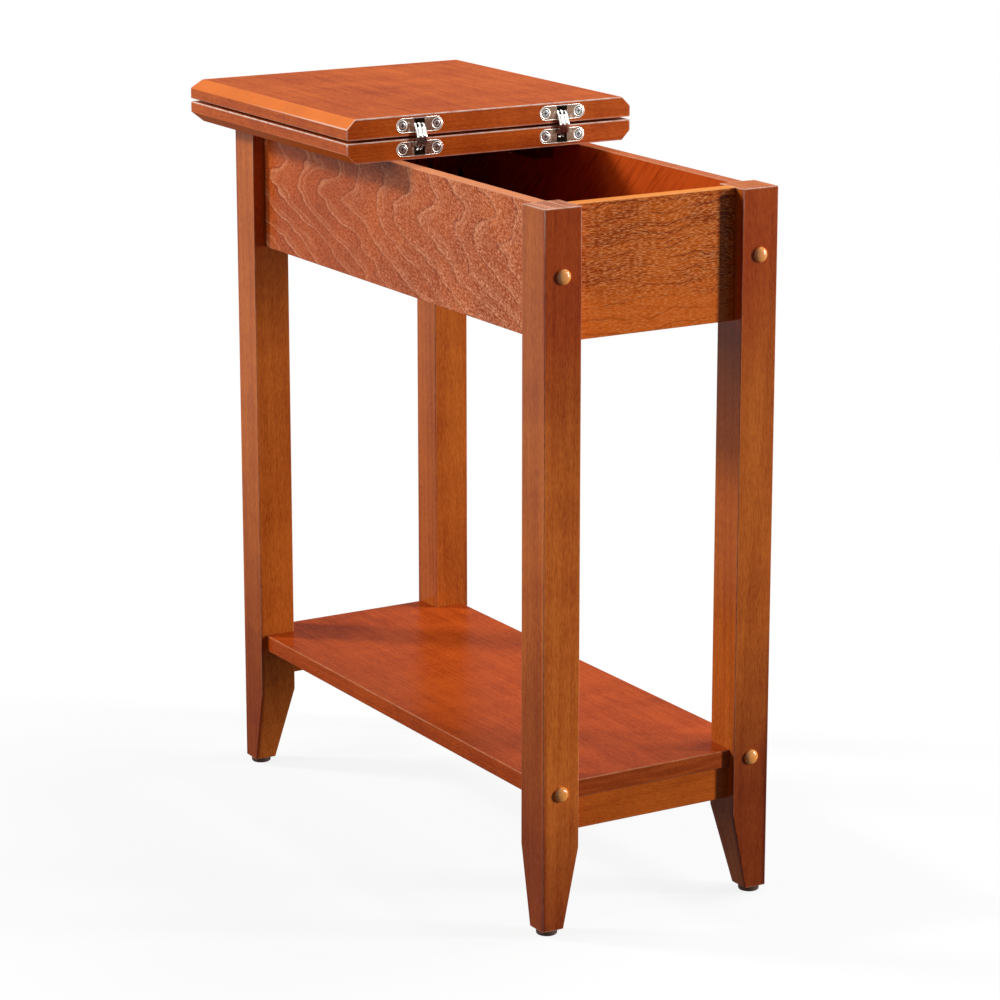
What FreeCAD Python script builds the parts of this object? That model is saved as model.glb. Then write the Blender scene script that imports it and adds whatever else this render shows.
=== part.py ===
import FreeCAD, Part
import math
import os
import re

import Sketcher

# Flip-top end table. Lengths in millimetres, +X to the open front end, +Z up, floor at Z zero.

# Driving sizes: alias, value, meaning
SIZES = [
    ("leaf_width", 286, "width of both top leaves"),
    ("leaf_length", 302, "length of each top leaf"),
    ("leaf_thickness", 18, "thickness of each top leaf"),
    ("leaf_bevel", 8.3, "bevel under the three outer edges of a leaf"),
    ("leaf_edge_radius", 1, "rounding of the show edges of a leaf"),
    ("fold_gap", 2.5, "gap between the leaves when folded"),
    ("joint_gap", 1, "gap between the leaves when closed"),
    ("frame_length", 546, "over the end faces of the legs"),
    ("frame_width", 226, "over the side faces of the legs"),
    ("top_height", 617, "floor to the top of the legs"),
    ("leg_size", 35, "side of the square leg"),
    ("foot_size", 20.5, "side of the leg at its foot"),
    ("taper_height", 75, "floor to the start of the taper"),
    ("glide_diameter", 18, "leg glide"),
    ("glide_height", 5, "leg glide"),
    ("glide_edge", 1.5, "sloped rim of the glide"),
    ("nail_diameter", 2.4, "nail of the glide"),
    ("nail_length", 14, "nail of the glide"),
    ("apron_height", 112, "height of the box panels"),
    ("apron_thickness", 12, "thickness of the box panels"),
    ("tray_thickness", 5, "floor of the box"),
    ("groove_depth", 4, "groove for the floor of the box"),
    ("groove_lift", 8, "groove above the bottom edge of the panel"),
    ("shelf_top", 132, "floor to the top of the shelf"),
    ("shelf_thickness", 15, "thickness of the shelf"),
    ("shelf_inset", 6, "shelf edge behind the outer leg faces"),
    ("rail_height", 29, "rail under each end of the shelf"),
    ("rail_thickness", 16, "rail under each end of the shelf"),
    ("rail_inset", 9, "rail face behind the end face of the legs"),
    ("cleat_size", 18, "square batten under the fixed leaf"),
    ("cleat_length", 190, "batten under the fixed leaf"),
    ("cleat_setback", 5, "batten clear of the rear leg"),
    ("button_diameter", 13, "domed plug over a bolt"),
    ("button_crown", 4, "height of the dome"),
    ("stem_diameter", 11, "stem of the plug and head of the bolt"),
    ("stem_length", 8, "stem of the plug"),
    ("bolt_diameter", 6, "shank of bolts and shelf screws"),
    ("bolt_head", 4, "height of the bolt head"),
    ("bolt_tail", 4, "bolt past the barrel nut"),
    ("nut_diameter", 10, "barrel nut"),
    ("nut_length", 9.5, "barrel nut"),
    ("nut_setback", 30, "barrel nut from the end of the side panel"),
    ("shelf_screw_reach", 35, "shelf screw inside the shelf"),
    ("dowel_diameter", 6, "wood dowels"),
    ("dowel_length", 30, "wood dowels"),
    ("side_dowel_spacing", 70, "dowels at each end of a side panel"),
    ("end_dowel_spacing", 40, "dowels at each end of an end panel"),
    ("rail_dowel_spacing", 15, "dowels at each end of a shelf rail"),
    ("screw_diameter", 3, "small wood screws"),
    ("cleat_screw_length", 27, "batten screws under the head"),
    ("cleat_head_diameter", 7, "head of the batten screws"),
    ("cleat_head_height", 2.4, "head of the batten screws"),
    ("hinge_spacing", 144, "between the middles of the two hinges"),
    ("plate_length", 46, "face plate of a hinge cup"),
    ("plate_width", 13, "face plate of a hinge cup"),
    ("plate_thickness", 2.4, "face plate of a hinge cup"),
    ("cup_width", 14, "body of a hinge cup along the fold line"),
    ("cup_depth", 16, "body of a hinge cup into the leaf"),
    ("cup_wall", 0.45, "wall of the cup above and below the links"),
    ("cup_back", 0.8, "back wall of the cup"),
    ("slot_width", 10.5, "room for the links along the fold line"),
    ("hinge_screw_spacing", 34, "screws of one face plate"),
    ("hinge_screw_length", 20, "hinge screws"),
    ("hinge_head_diameter", 7, "countersunk head of the hinge screws"),
    ("hinge_head_height", 2, "countersunk head of the hinge screws"),
    ("recess_length", 3.8, "cross recess of the hinge screws"),
    ("recess_width", 0.9, "cross recess of the hinge screws"),
    ("recess_depth", 1, "cross recess of the hinge screws"),
    ("link_pitch", 2.05, "spacing of the link plates"),
    ("link_thickness", 1.85, "one link plate"),
    ("link_half_width", 1.35, "half width of a link arm"),
    ("elbow_radius", 1.5, "boss of the links round the centre pin"),
    ("pin_diameter", 1.1, "pins of the hinge"),
    ("slot_half_width", 0.86, "half width of the centre slot of the flip links"),
    ("pivot_inset", 1.6, "pivot pin behind the fold line"),
    ("pivot_offset", 4.45, "pivot pin from the middle of the plate towards the fold"),
    ("apex_reach", 3.3, "centre pin in front of the fold line at rest"),
    ("knee_reach", 1, "bend of the short arm in front of the fold line"),
    ("knee_offset", 3.35, "bend of the short arm from the middle of the plate"),
    ("shoulder_reach", 0.9, "bend of the long arm in front of the fold line"),
    ("shoulder_offset", 4.35, "bend of the long arm from the middle of the plate"),
    ("slider_inset", 2.6, "slider pin behind the fold line at rest"),
    ("slider_offset", 0.55, "slider pin past the middle of the plate"),
    ("slot_low_reach", -0.49, "lower end of the centre slot from the pin"),
    ("slot_low_rise", -1.87, "lower end of the centre slot from the pin"),
    ("slot_high_reach", 0.56, "upper end of the centre slot from the pin"),
    ("slot_high_rise", 1.26, "upper end of the centre slot from the pin"),
    ("fit_clearance", 0.1, "clearance of seated pieces"),
    ("tray_clearance", 0.3, "clearance of the box floor at the groove bottoms"),
    ("end_clearance", 1, "room past the end of a dowel or bolt"),
    ("running_clearance", 0.05, "radial clearance of pins in links"),
    ("overrun", 1, "how far every cut runs past the stock"),
]

# Places worked out from the driving sizes
DERIVED = {
    "half_length": "frame_length / 2",
    "half_width": "frame_width / 2",
    "center_x": "(leaf_length + joint_gap / 2 - half_length - button_crown) / 2",
    "leg_height": "top_height - glide_height",
    "apron_bottom": "top_height - apron_height",
    "bolt_height": "top_height - apron_height / 2",
    "panel_recess": "(leg_size - apron_thickness) / 2",
    "panel_inner": "panel_recess + apron_thickness",
    "side_panel_length": "frame_length - 2 * leg_size",
    "end_panel_length": "frame_width - 2 * leg_size",
    "shelf_bottom": "shelf_top - shelf_thickness",
    "shelf_middle": "shelf_top - shelf_thickness / 2",
    "rail_bottom": "shelf_bottom - rail_height",
    "rail_middle": "shelf_bottom - rail_height / 2",
    "rail_place": "rail_inset + rail_thickness / 2",
    "fold_height": "top_height + leaf_thickness + fold_gap / 2",
    "hinge_drop": "fold_gap / 2 + leaf_thickness / 2",
    "flip_base": "top_height + leaf_thickness + fold_gap",
    "head_seat": "stem_length + bolt_head",
    "bolt_length": "leg_size - head_seat + nut_setback + nut_diameter / 2 + bolt_tail",
    "bolt_bore": "bolt_diameter + 2 * fit_clearance",
    "stem_bore": "stem_diameter + 2 * fit_clearance",
    "dowel_bore": "dowel_diameter + 2 * fit_clearance",
    "dowel_depth": "dowel_length / 2 + end_clearance",
    "screw_bore": "screw_diameter + 2 * fit_clearance",
    "pin_bore": "pin_diameter + 2 * running_clearance",
    "cleat_start": "leg_size + cleat_setback - half_length",
    "cleat_side": "half_width - panel_inner - cleat_size / 2",
    "pivot_drop": "hinge_drop - pivot_offset",
    "knee_drop": "hinge_drop - knee_offset",
    "shoulder_rise": "hinge_drop - shoulder_offset",
    "slider_rise": "hinge_drop + slider_offset",
}

# Shares of the batten's length at which its screws stand
SIDE_SCREW_SHARES = (0.15, 0.85)
LEAF_SCREW_SHARES = (0.3, 0.7)

# Corner signs: name, end (+1 front), side (+1 right)
CORNERS = [
    ("front_left", 1, -1),
    ("front_right", 1, 1),
    ("rear_left", -1, -1),
    ("rear_right", -1, 1),
]

# Sketch plane for holes along each axis, and the sign of that plane's normal
PLANES = {"x": ("YZ_Plane", 1), "y": ("XZ_Plane", -1), "z": ("XY_Plane", 1)}

doc = FreeCAD.newDocument("FlipTopEndTable")
sheet = doc.addObject("Spreadsheet::Sheet", "Sizes")
ALIASES = set()
for row, (alias, amount, meaning) in enumerate(SIZES, start=1):
    sheet.set(f"A{row}", alias)
    sheet.set(f"B{row}", str(amount))
    sheet.setAlias(f"B{row}", alias)
    sheet.set(f"C{row}", meaning)
    ALIASES.add(alias)
doc.recompute()

nodes = []


def full(text):
    """Return the expression with every size and derived place written out."""
    def swap(match):
        word = match.group(0)
        if word in DERIVED:
            return "(" + full(DERIVED[word]) + ")"
        if word in ALIASES:
            return "Sizes." + word
        return word
    return re.sub(r"[a-z][a-z_0-9]*", swap, text)


def number(text):
    """Return the present value of an expression."""
    return float(sheet.evalExpression(full(text)))


def place(item, across, along, up):
    """Bind the position of an object to three expressions."""
    item.setExpression("Placement.Base.x", full(across))
    item.setExpression("Placement.Base.y", full(along))
    item.setExpression("Placement.Base.z", full(up))


def new_body(label, across, along, up):
    """Start a sub-part at its own place."""
    body = doc.addObject("PartDesign::Body", label)
    body.Label = label
    place(body, across, along, up)
    nodes.append(body)
    return body


def new_sketch(body, role, offset):
    """Add a sketch on one of the body's own planes, moved along its normal."""
    sketch = body.newObject("Sketcher::SketchObject", body.Name + "_sketch")
    plane = next(item for item in body.Origin.OriginFeatures if item.Role == role)
    sketch.AttachmentSupport = [(plane, "")]
    sketch.MapMode = "FlatFace"
    sketch.setExpression("AttachmentOffset.Base.z", full(offset))
    return sketch


def pin_point(sketch, geometry, position, across, up):
    """Tie one point of the sketch to two expressions measured from the sketch origin."""
    for kind, text in (("DistanceX", across), ("DistanceY", up)):
        index = sketch.addConstraint(
            Sketcher.Constraint(kind, -1, 1, geometry, position, number(text)))
        sketch.setExpression(f"Constraints[{index}]", full(text))


def add_outline(sketch, corners):
    """Add a closed outline of straight lines through corners given as expressions."""
    first = sketch.GeometryCount
    spots = [FreeCAD.Vector(number(across), number(up), 0) for across, up in corners]
    count = len(spots)
    for index in range(count):
        line = Part.LineSegment(spots[index], spots[(index + 1) % count])
        sketch.addGeometry(line, False)
    for index in range(count):
        following = first + (index + 1) % count
        sketch.addConstraint(Sketcher.Constraint("Coincident", first + index, 2, following, 1))
    for index, (across, up) in enumerate(corners):
        pin_point(sketch, first + index, 1, across, up)


def add_circle(sketch, across, up, diameter):
    """Add one circle with its place and diameter given as expressions."""
    middle = FreeCAD.Vector(number(across), number(up), 0)
    circle = Part.Circle(middle, FreeCAD.Vector(0, 0, 1), number(diameter) / 2)
    geometry = sketch.addGeometry(circle, False)
    pin_point(sketch, geometry, 3, across, up)
    index = sketch.addConstraint(Sketcher.Constraint("Diameter", geometry, number(diameter)))
    sketch.setExpression(f"Constraints[{index}]", full(diameter))


def rectangle(low_across, low_up, high_across, high_up):
    """Return the four corners of a rectangle from its low and high places."""
    return [(low_across, low_up), (high_across, low_up),
            (high_across, high_up), (low_across, high_up)]


def centred(width, height):
    """Return the corners of a rectangle round the sketch origin."""
    return rectangle(f"-({width}) / 2", f"-({height}) / 2", f"({width}) / 2", f"({height}) / 2")


def pad(body, sketch, length, backwards=False):
    """Raise a sketch by a bound length."""
    feature = body.newObject("PartDesign::Pad", body.Name + "_pad")
    feature.Profile = sketch
    feature.setExpression("Length", full(length))
    feature.Reversed = backwards
    sketch.Visibility = False
    return feature


def pocket(body, axis, sketch, heading, depth):
    """Cut a sketch by a bound depth, running along +1 or -1 of its axis."""
    feature = body.newObject("PartDesign::Pocket", body.Name + "_pocket")
    feature.Profile = sketch
    feature.setExpression("Length", full(depth))
    feature.Reversed = heading == PLANES[axis][1]
    sketch.Visibility = False
    return feature


def axis_sketch(body, axis, start):
    """Add a sketch across an axis at a place along it."""
    role, normal = PLANES[axis]
    return new_sketch(body, role, f"{normal} * ({start})")


def cut_round(body, axis, start, heading, spots, diameter, depth):
    """Cut round holes that begin at a place along an axis."""
    sketch = axis_sketch(body, axis, start)
    for across, up in spots:
        add_circle(sketch, across, up, diameter)
    return pocket(body, axis, sketch, heading, depth)


def cut_outline(body, axis, start, heading, outlines, depth):
    """Cut straight-sided outlines that begin at a place along an axis."""
    sketch = axis_sketch(body, axis, start)
    for corners in outlines:
        add_outline(sketch, corners)
    return pocket(body, axis, sketch, heading, depth)


def loft(body, kind, lower, upper):
    """Blend between two sketches, adding or taking away."""
    feature = body.newObject("PartDesign::" + kind, body.Name + "_loft")
    feature.Profile = lower
    feature.Sections = [upper]
    lower.Visibility = False
    upper.Visibility = False
    return feature


def edges_at(feature, height, skip_across):
    """Name the straight edges at a height, without the one that lies in a plane across X."""
    found = []
    for index, edge in enumerate(feature.Shape.Edges, start=1):
        points = [vertex.Point for vertex in edge.Vertexes]
        level = all(math.isclose(point.z, height, abs_tol=1e-6) for point in points)
        skipped = all(math.isclose(point.x, skip_across, abs_tol=1e-6) for point in points)
        if level and not skipped:
            found.append(f"Edge{index}")
    return found


def group(label, solids):
    """Make one node of separate solids."""
    item = doc.addObject("Part::Feature", label)
    item.Label = label
    item.Shape = Part.makeCompound(solids)
    item.Placement = FreeCAD.Placement()
    nodes.append(item)
    return item


def rod(diameter, length, start, direction):
    """Return a round bar from its start along a direction."""
    return Part.makeCylinder(diameter / 2, length, start, direction)


# Legs

def build_leg(name, end, side):
    """Build one leg from its outer corner, tapered on the two inner faces."""
    body = new_body(name + "_leg", f"center_x + {end} * half_length",
                    f"{side} * half_width", "glide_height")
    across = -end
    along = -side
    foot = new_sketch(body, "XY_Plane", "0")
    add_outline(foot, rectangle("0", "0", f"{across} * foot_size", f"{along} * foot_size"))
    shoulder = new_sketch(body, "XY_Plane", "taper_height - glide_height")
    square = rectangle("0", "0", f"{across} * leg_size", f"{along} * leg_size")
    add_outline(shoulder, square)
    loft(body, "AdditiveLoft", foot, shoulder)
    shaft = new_sketch(body, "XY_Plane", "taper_height - glide_height")
    add_outline(shaft, square)
    pad(body, shaft, "top_height - taper_height")
    middle_along = f"{along} * leg_size / 2"
    middle_across = f"{across} * leg_size / 2"
    bolts = [(middle_along, "bolt_height - glide_height"),
             (middle_along, "shelf_middle - glide_height")]
    cut_round(body, "x", "0", across, bolts, "bolt_bore", "leg_size + overrun")
    cut_round(body, "x", "0", across, bolts, "stem_bore", "head_seat")
    side_spots = [(middle_along, f"bolt_height - glide_height + {sign} * side_dowel_spacing / 2")
                  for sign in (-1, 1)]
    cut_round(body, "x", f"{across} * leg_size", end, side_spots, "dowel_bore", "dowel_depth")
    end_spots = [(middle_across, f"bolt_height - glide_height + {sign} * end_dowel_spacing / 2")
                 for sign in (-1, 1)]
    end_spots += [(f"{across} * rail_place",
                   f"rail_middle - glide_height + {sign} * rail_dowel_spacing / 2")
                  for sign in (-1, 1)]
    cut_round(body, "y", f"{along} * leg_size", side, end_spots, "dowel_bore", "dowel_depth")
    nail = [(f"{across} * foot_size / 2", f"{along} * foot_size / 2")]
    cut_round(body, "z", "0", 1, nail, "nail_diameter + 2 * fit_clearance",
              "nail_length + fit_clearance")
    return body


for corner_name, corner_end, corner_side in CORNERS:
    build_leg(corner_name, corner_end, corner_side)


# Box panels

def build_end_panel(name, end):
    """Build the short panel between two legs, with its floor groove and dowel holes."""
    body = new_body(name + "_end_panel", f"center_x + {end} * (half_length - leg_size / 2)",
                    "0", "apron_bottom")
    sketch = new_sketch(body, "XY_Plane", "0")
    add_outline(sketch, centred("apron_thickness", "end_panel_length"))
    pad(body, sketch, "apron_height")
    spots = [("0", f"(apron_height + {sign} * end_dowel_spacing) / 2") for sign in (-1, 1)]
    for side in (-1, 1):
        cut_round(body, "y", f"{side} * end_panel_length / 2", -side, spots,
                  "dowel_bore", "dowel_depth")
    inner = f"{-end} * apron_thickness / 2"
    groove = rectangle(inner, "groove_lift", f"{-end} * (apron_thickness / 2 - groove_depth)",
                       "groove_lift + tray_thickness + 2 * fit_clearance")
    cut_outline(body, "y", "-end_panel_length / 2 - overrun", 1, [groove],
                "end_panel_length + 2 * overrun")
    return body


def build_side_panel(name, side):
    """Build the long panel between two legs, with groove, dowel, bolt, nut and screw holes."""
    body = new_body(name + "_side_panel", "center_x",
                    f"{side} * (half_width - leg_size / 2)", "apron_bottom")
    sketch = new_sketch(body, "XY_Plane", "0")
    add_outline(sketch, centred("side_panel_length", "apron_thickness"))
    pad(body, sketch, "apron_height")
    dowels = [("0", f"(apron_height + {sign} * side_dowel_spacing) / 2") for sign in (-1, 1)]
    bolts = [("0", "apron_height / 2")]
    for end in (-1, 1):
        face = f"{end} * side_panel_length / 2"
        cut_round(body, "x", face, -end, dowels, "dowel_bore", "dowel_depth")
        cut_round(body, "x", face, -end, bolts, "bolt_bore",
                  "nut_setback + nut_diameter / 2 + bolt_tail + end_clearance")
    inner = f"{-side} * apron_thickness / 2"
    nuts = [(f"{end} * (side_panel_length / 2 - nut_setback)", "apron_height / 2")
            for end in (-1, 1)]
    cut_round(body, "y", inner, side, nuts, "nut_diameter + 2 * fit_clearance",
              "nut_length + fit_clearance")
    screws = [(f"cleat_start + {share} * cleat_length", "apron_height - cleat_size / 2")
              for share in SIDE_SCREW_SHARES]
    cut_round(body, "y", inner, side, screws, "screw_bore",
              "cleat_screw_length - cleat_size + fit_clearance")
    groove = rectangle(inner, "groove_lift", f"{-side} * (apron_thickness / 2 - groove_depth)",
                       "groove_lift + tray_thickness + 2 * fit_clearance")
    cut_outline(body, "x", "-side_panel_length / 2 - overrun", 1, [groove],
                "side_panel_length + 2 * overrun")
    return body


build_end_panel("front", 1)
build_end_panel("rear", -1)
build_side_panel("left", -1)
build_side_panel("right", 1)


# Box floor and shelf, both notched round the legs

def build_notched_plate(label, height, thickness, full_across, full_along, clearance):
    """Build a plate whose four corners are cut out for the legs."""
    body = new_body(label, "center_x", "0", height)
    notch_across = f"(half_length - leg_size - {clearance})"
    notch_along = f"(half_width - leg_size - {clearance})"
    corners = []
    for end, side in ((1, -1), (1, 1), (-1, 1), (-1, -1)):
        turn = [(f"{end} * {notch_across}", f"{side} * {full_along}"),
                (f"{end} * {notch_across}", f"{side} * {notch_along}"),
                (f"{end} * {full_across}", f"{side} * {notch_along}")]
        corners += turn if end != side else turn[::-1]
    sketch = new_sketch(body, "XY_Plane", "0")
    add_outline(sketch, corners)
    pad(body, sketch, thickness)
    return body


build_notched_plate("tray_panel", "apron_bottom + groove_lift + fit_clearance", "tray_thickness",
                    "(half_length - panel_inner + groove_depth - tray_clearance)",
                    "(half_width - panel_inner + groove_depth - tray_clearance)", "tray_clearance")
shelf = build_notched_plate("shelf", "shelf_bottom", "shelf_thickness",
                            "(half_length - shelf_inset)", "(half_width - shelf_inset)",
                            "fit_clearance")
for shelf_end in (-1, 1):
    shelf_spots = [(f"{side} * (half_width - leg_size / 2)", "shelf_thickness / 2")
                   for side in (-1, 1)]
    cut_round(shelf, "x", f"{shelf_end} * (half_length - leg_size)", -shelf_end, shelf_spots,
              "bolt_bore", "shelf_screw_reach + end_clearance")


def build_rail(name, end):
    """Build the rail under one end of the shelf."""
    body = new_body(name + "_shelf_rail", f"center_x + {end} * (half_length - rail_place)",
                    "0", "rail_bottom")
    sketch = new_sketch(body, "XY_Plane", "0")
    add_outline(sketch, centred("rail_thickness", "end_panel_length"))
    pad(body, sketch, "rail_height")
    spots = [("0", f"(rail_height + {sign} * rail_dowel_spacing) / 2") for sign in (-1, 1)]
    for side in (-1, 1):
        cut_round(body, "y", f"{side} * end_panel_length / 2", -side, spots,
                  "dowel_bore", "dowel_depth")
    return body


build_rail("front", 1)
build_rail("rear", -1)


# Battens that carry the fixed leaf

def build_cleat(name, side):
    """Build one batten with through holes for its screws."""
    body = new_body(name + "_top_cleat", "center_x + cleat_start", f"{side} * cleat_side",
                    "top_height - cleat_size")
    sketch = new_sketch(body, "XY_Plane", "0")
    add_outline(sketch, rectangle("0", "-cleat_size / 2", "cleat_length", "cleat_size / 2"))
    pad(body, sketch, "cleat_size")
    level = [(f"{share} * cleat_length", "cleat_size / 2") for share in SIDE_SCREW_SHARES]
    cut_round(body, "y", "-cleat_size / 2 - overrun", 1, level, "screw_bore",
              "cleat_size + 2 * overrun")
    upright = [(f"{share} * cleat_length", "0") for share in LEAF_SCREW_SHARES]
    cut_round(body, "z", "-overrun", 1, upright, "screw_bore", "cleat_size + 2 * overrun")
    return body


build_cleat("left", -1)
build_cleat("right", 1)


# Top leaves

def build_leaf(label, base, show_side):
    """Build a leaf from its hinge edge; show_side +1 has the flat show face on top."""
    body = new_body(label, "center_x - joint_gap / 2", "0", base)
    sketch = new_sketch(body, "XY_Plane", "0")
    add_outline(sketch, rectangle("-leaf_length", "-leaf_width / 2", "0", "leaf_width / 2"))
    board = pad(body, sketch, "leaf_thickness")
    doc.recompute()
    under = 0.0 if show_side > 0 else number("leaf_thickness")
    show = number("leaf_thickness") - under
    bevel = body.newObject("PartDesign::Chamfer", body.Name + "_bevel")
    bevel.Base = (board, edges_at(board, under, 0.0))
    bevel.setExpression("Size", full("leaf_bevel"))
    doc.recompute()
    rounding = body.newObject("PartDesign::Fillet", body.Name + "_rounding")
    rounding.Base = (bevel, edges_at(bevel, show, 0.0))
    rounding.setExpression("Radius", full("leaf_edge_radius"))
    plate_half = "(plate_length - plate_width) / 2"
    straight = []
    ends = []
    bodies = []
    screws = []
    for side in (-1, 1):
        middle = f"{side} * hinge_spacing / 2"
        straight.append(rectangle(
            f"{middle} - {plate_half}", "leaf_thickness / 2 - plate_width / 2 - fit_clearance",
            f"{middle} + {plate_half}", "leaf_thickness / 2 + plate_width / 2 + fit_clearance"))
        bodies.append(rectangle(
            f"{middle} - cup_width / 2 - fit_clearance",
            "leaf_thickness / 2 - plate_width / 2 - fit_clearance",
            f"{middle} + cup_width / 2 + fit_clearance",
            "leaf_thickness / 2 + plate_width / 2 + fit_clearance"))
        for sign in (-1, 1):
            ends.append((f"{middle} + {sign} * {plate_half}", "leaf_thickness / 2"))
            screws.append((f"{middle} + {sign} * hinge_screw_spacing / 2", "leaf_thickness / 2"))
    cut_outline(body, "x", "0", -1, straight, "plate_thickness")
    cut_round(body, "x", "0", -1, ends, "plate_width + 2 * fit_clearance", "plate_thickness")
    cut_outline(body, "x", "0", -1, bodies, "cup_depth + fit_clearance")
    cut_round(body, "x", "0", -1, screws, "screw_bore", "hinge_screw_length + fit_clearance")
    return body


fixed_leaf = build_leaf("fixed_leaf", "top_height", 1)
leaf_screw_spots = [(f"cleat_start + joint_gap / 2 + {share} * cleat_length",
                     f"{side} * cleat_side")
                    for share in LEAF_SCREW_SHARES for side in (-1, 1)]
cut_round(fixed_leaf, "z", "0", 1, leaf_screw_spots, "screw_bore",
          "cleat_screw_length - cleat_size + fit_clearance")
build_leaf("flip_leaf", "flip_base", -1)


# Concealed hinges

def build_cup(label, side, turn):
    """Build one hinge cup; turn +1 stands above the fold line, -1 below it."""
    body = new_body(label, "center_x - joint_gap / 2", f"{side} * hinge_spacing / 2",
                    f"fold_height + {turn} * hinge_drop")
    plate = new_sketch(body, "YZ_Plane", "0")
    add_outline(plate, centred("plate_length - plate_width", "plate_width"))
    pad(body, plate, "plate_thickness", True)
    rounds = new_sketch(body, "YZ_Plane", "0")
    for sign in (-1, 1):
        add_circle(rounds, f"{sign} * (plate_length - plate_width) / 2", "0", "plate_width")
    pad(body, rounds, "plate_thickness", True)
    shell = new_sketch(body, "YZ_Plane", "0")
    add_outline(shell, centred("cup_width", "plate_width"))
    pad(body, shell, "cup_depth", True)
    cut_outline(body, "x", "0", -1, [centred("slot_width", "plate_width - 2 * cup_wall")],
                "cup_depth - cup_back")
    pivot = [("joint_gap / 2 - pivot_inset", f"{-turn} * pivot_offset")]
    cut_round(body, "y", "-cup_width / 2 - overrun", 1, pivot, "pin_bore",
              "cup_width + 2 * overrun")
    screws = [(f"{sign} * hinge_screw_spacing / 2", "0") for sign in (-1, 1)]
    cut_round(body, "x", "0", -1, screws, "screw_bore", "plate_thickness + overrun")
    for across, up in screws:
        mouth = new_sketch(body, "YZ_Plane", "0")
        add_circle(mouth, across, up, "hinge_head_diameter + 2 * fit_clearance")
        throat = new_sketch(body, "YZ_Plane", "-hinge_head_height")
        add_circle(throat, across, up, "screw_bore")
        loft(body, "SubtractiveLoft", mouth, throat)
    return body


def flat_arm(start, end, radius, thickness):
    """Return a round-ended bar between two points of the XZ plane."""
    way = end - start
    bar = Part.makeBox(way.Length, thickness, 2 * radius,
                       FreeCAD.Vector(0, -thickness / 2, -radius))
    angle = math.degrees(math.atan2(way.z, way.x))
    bar.rotate(FreeCAD.Vector(), FreeCAD.Vector(0, -1, 0), angle)
    bar.translate(start)
    solid = bar
    for point in (start, end):
        solid = solid.fuse(eye(point, radius, thickness))
    return solid


def eye(point, radius, thickness):
    """Return a disc across Y centred on a point of the XZ plane."""
    start = FreeCAD.Vector(point.x, -thickness / 2, point.z)
    return Part.makeCylinder(radius, thickness, start, FreeCAD.Vector(0, 1, 0))


def link_points(turn):
    """Return pivot, knee, centre, shoulder and slider of a link from the fold line."""
    rows = [("-pivot_inset", "-pivot_drop"), ("knee_reach", "-knee_drop"), ("apex_reach", "0"),
            ("shoulder_reach", "shoulder_rise"), ("-slider_inset", "slider_rise")]
    return [FreeCAD.Vector(number(across), 0, -turn * number(up)) for across, up in rows]


def link_plate(turn):
    """Return one link plate; turn -1 is pivoted in the fixed cup, +1 in the flip cup."""
    points = link_points(turn)
    thickness = number("link_thickness")
    radius = number("link_half_width")
    elbow = number("elbow_radius")
    bore = number("pin_bore") / 2
    longer = thickness + 2 * number("overrun")
    plate = flat_arm(points[0], points[1], radius, thickness)
    for start, end in zip(points[1:-1], points[2:]):
        plate = plate.fuse(flat_arm(start, end, radius, thickness))
    low = points[2] + FreeCAD.Vector(number("slot_low_reach"), 0, number("slot_low_rise"))
    high = points[2] + FreeCAD.Vector(number("slot_high_reach"), 0, number("slot_high_rise"))
    if turn > 0:
        plate = plate.fuse(flat_arm(low, high, elbow, thickness))
        plate = plate.cut(flat_arm(low, high, number("slot_half_width"), longer))
    else:
        plate = plate.fuse(eye(points[2], elbow, thickness))
        plate = plate.cut(eye(points[2], bore, longer))
    for point in (points[0], points[4]):
        plate = plate.cut(eye(point, bore, longer))
    return plate.removeSplitter()


def build_links(label, side, turn, rows):
    """Build one link set of parallel plates on the given rows of the stack."""
    middle = FreeCAD.Vector(number("center_x"), side * number("hinge_spacing") / 2,
                            number("fold_height"))
    plate = link_plate(turn)
    solids = []
    for index in rows:
        copy = plate.copy()
        copy.translate(FreeCAD.Vector(0, index * number("link_pitch"), 0))
        solids += copy.Solids
    item = group(label, solids)
    item.Placement = FreeCAD.Placement(middle, FreeCAD.Rotation())
    return item


def build_pin(label, side, across, up, length):
    """Build one hinge pin along the fold direction, from the fold line."""
    item = doc.addObject("Part::Cylinder", label)
    item.Label = label
    item.setExpression("Radius", full("pin_diameter / 2"))
    item.setExpression("Height", full(length))
    item.Placement = FreeCAD.Placement(
        FreeCAD.Vector(), FreeCAD.Rotation(FreeCAD.Vector(1, 0, 0), -90))
    place(item, f"center_x + {across}", f"{side} * hinge_spacing / 2 - ({length}) / 2",
          f"fold_height + {up}")
    nodes.append(item)
    return item


def hinge_screw(start):
    """Return one countersunk screw running along -X from its face."""
    back = FreeCAD.Vector(-1, 0, 0)
    head = Part.makeCone(number("hinge_head_diameter") / 2, number("screw_diameter") / 2,
                         number("hinge_head_height"), start, back)
    solid = head.fuse(rod(number("screw_diameter"), number("hinge_screw_length"), start, back))
    long_side = number("recess_length")
    short_side = number("recess_width")
    deep = number("recess_depth")
    for wide, tall in ((long_side, short_side), (short_side, long_side)):
        corner = start + FreeCAD.Vector(-deep, -wide / 2, -tall / 2)
        solid = solid.cut(Part.makeBox(deep + number("overrun"), wide, tall, corner))
    return solid.removeSplitter()


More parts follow.
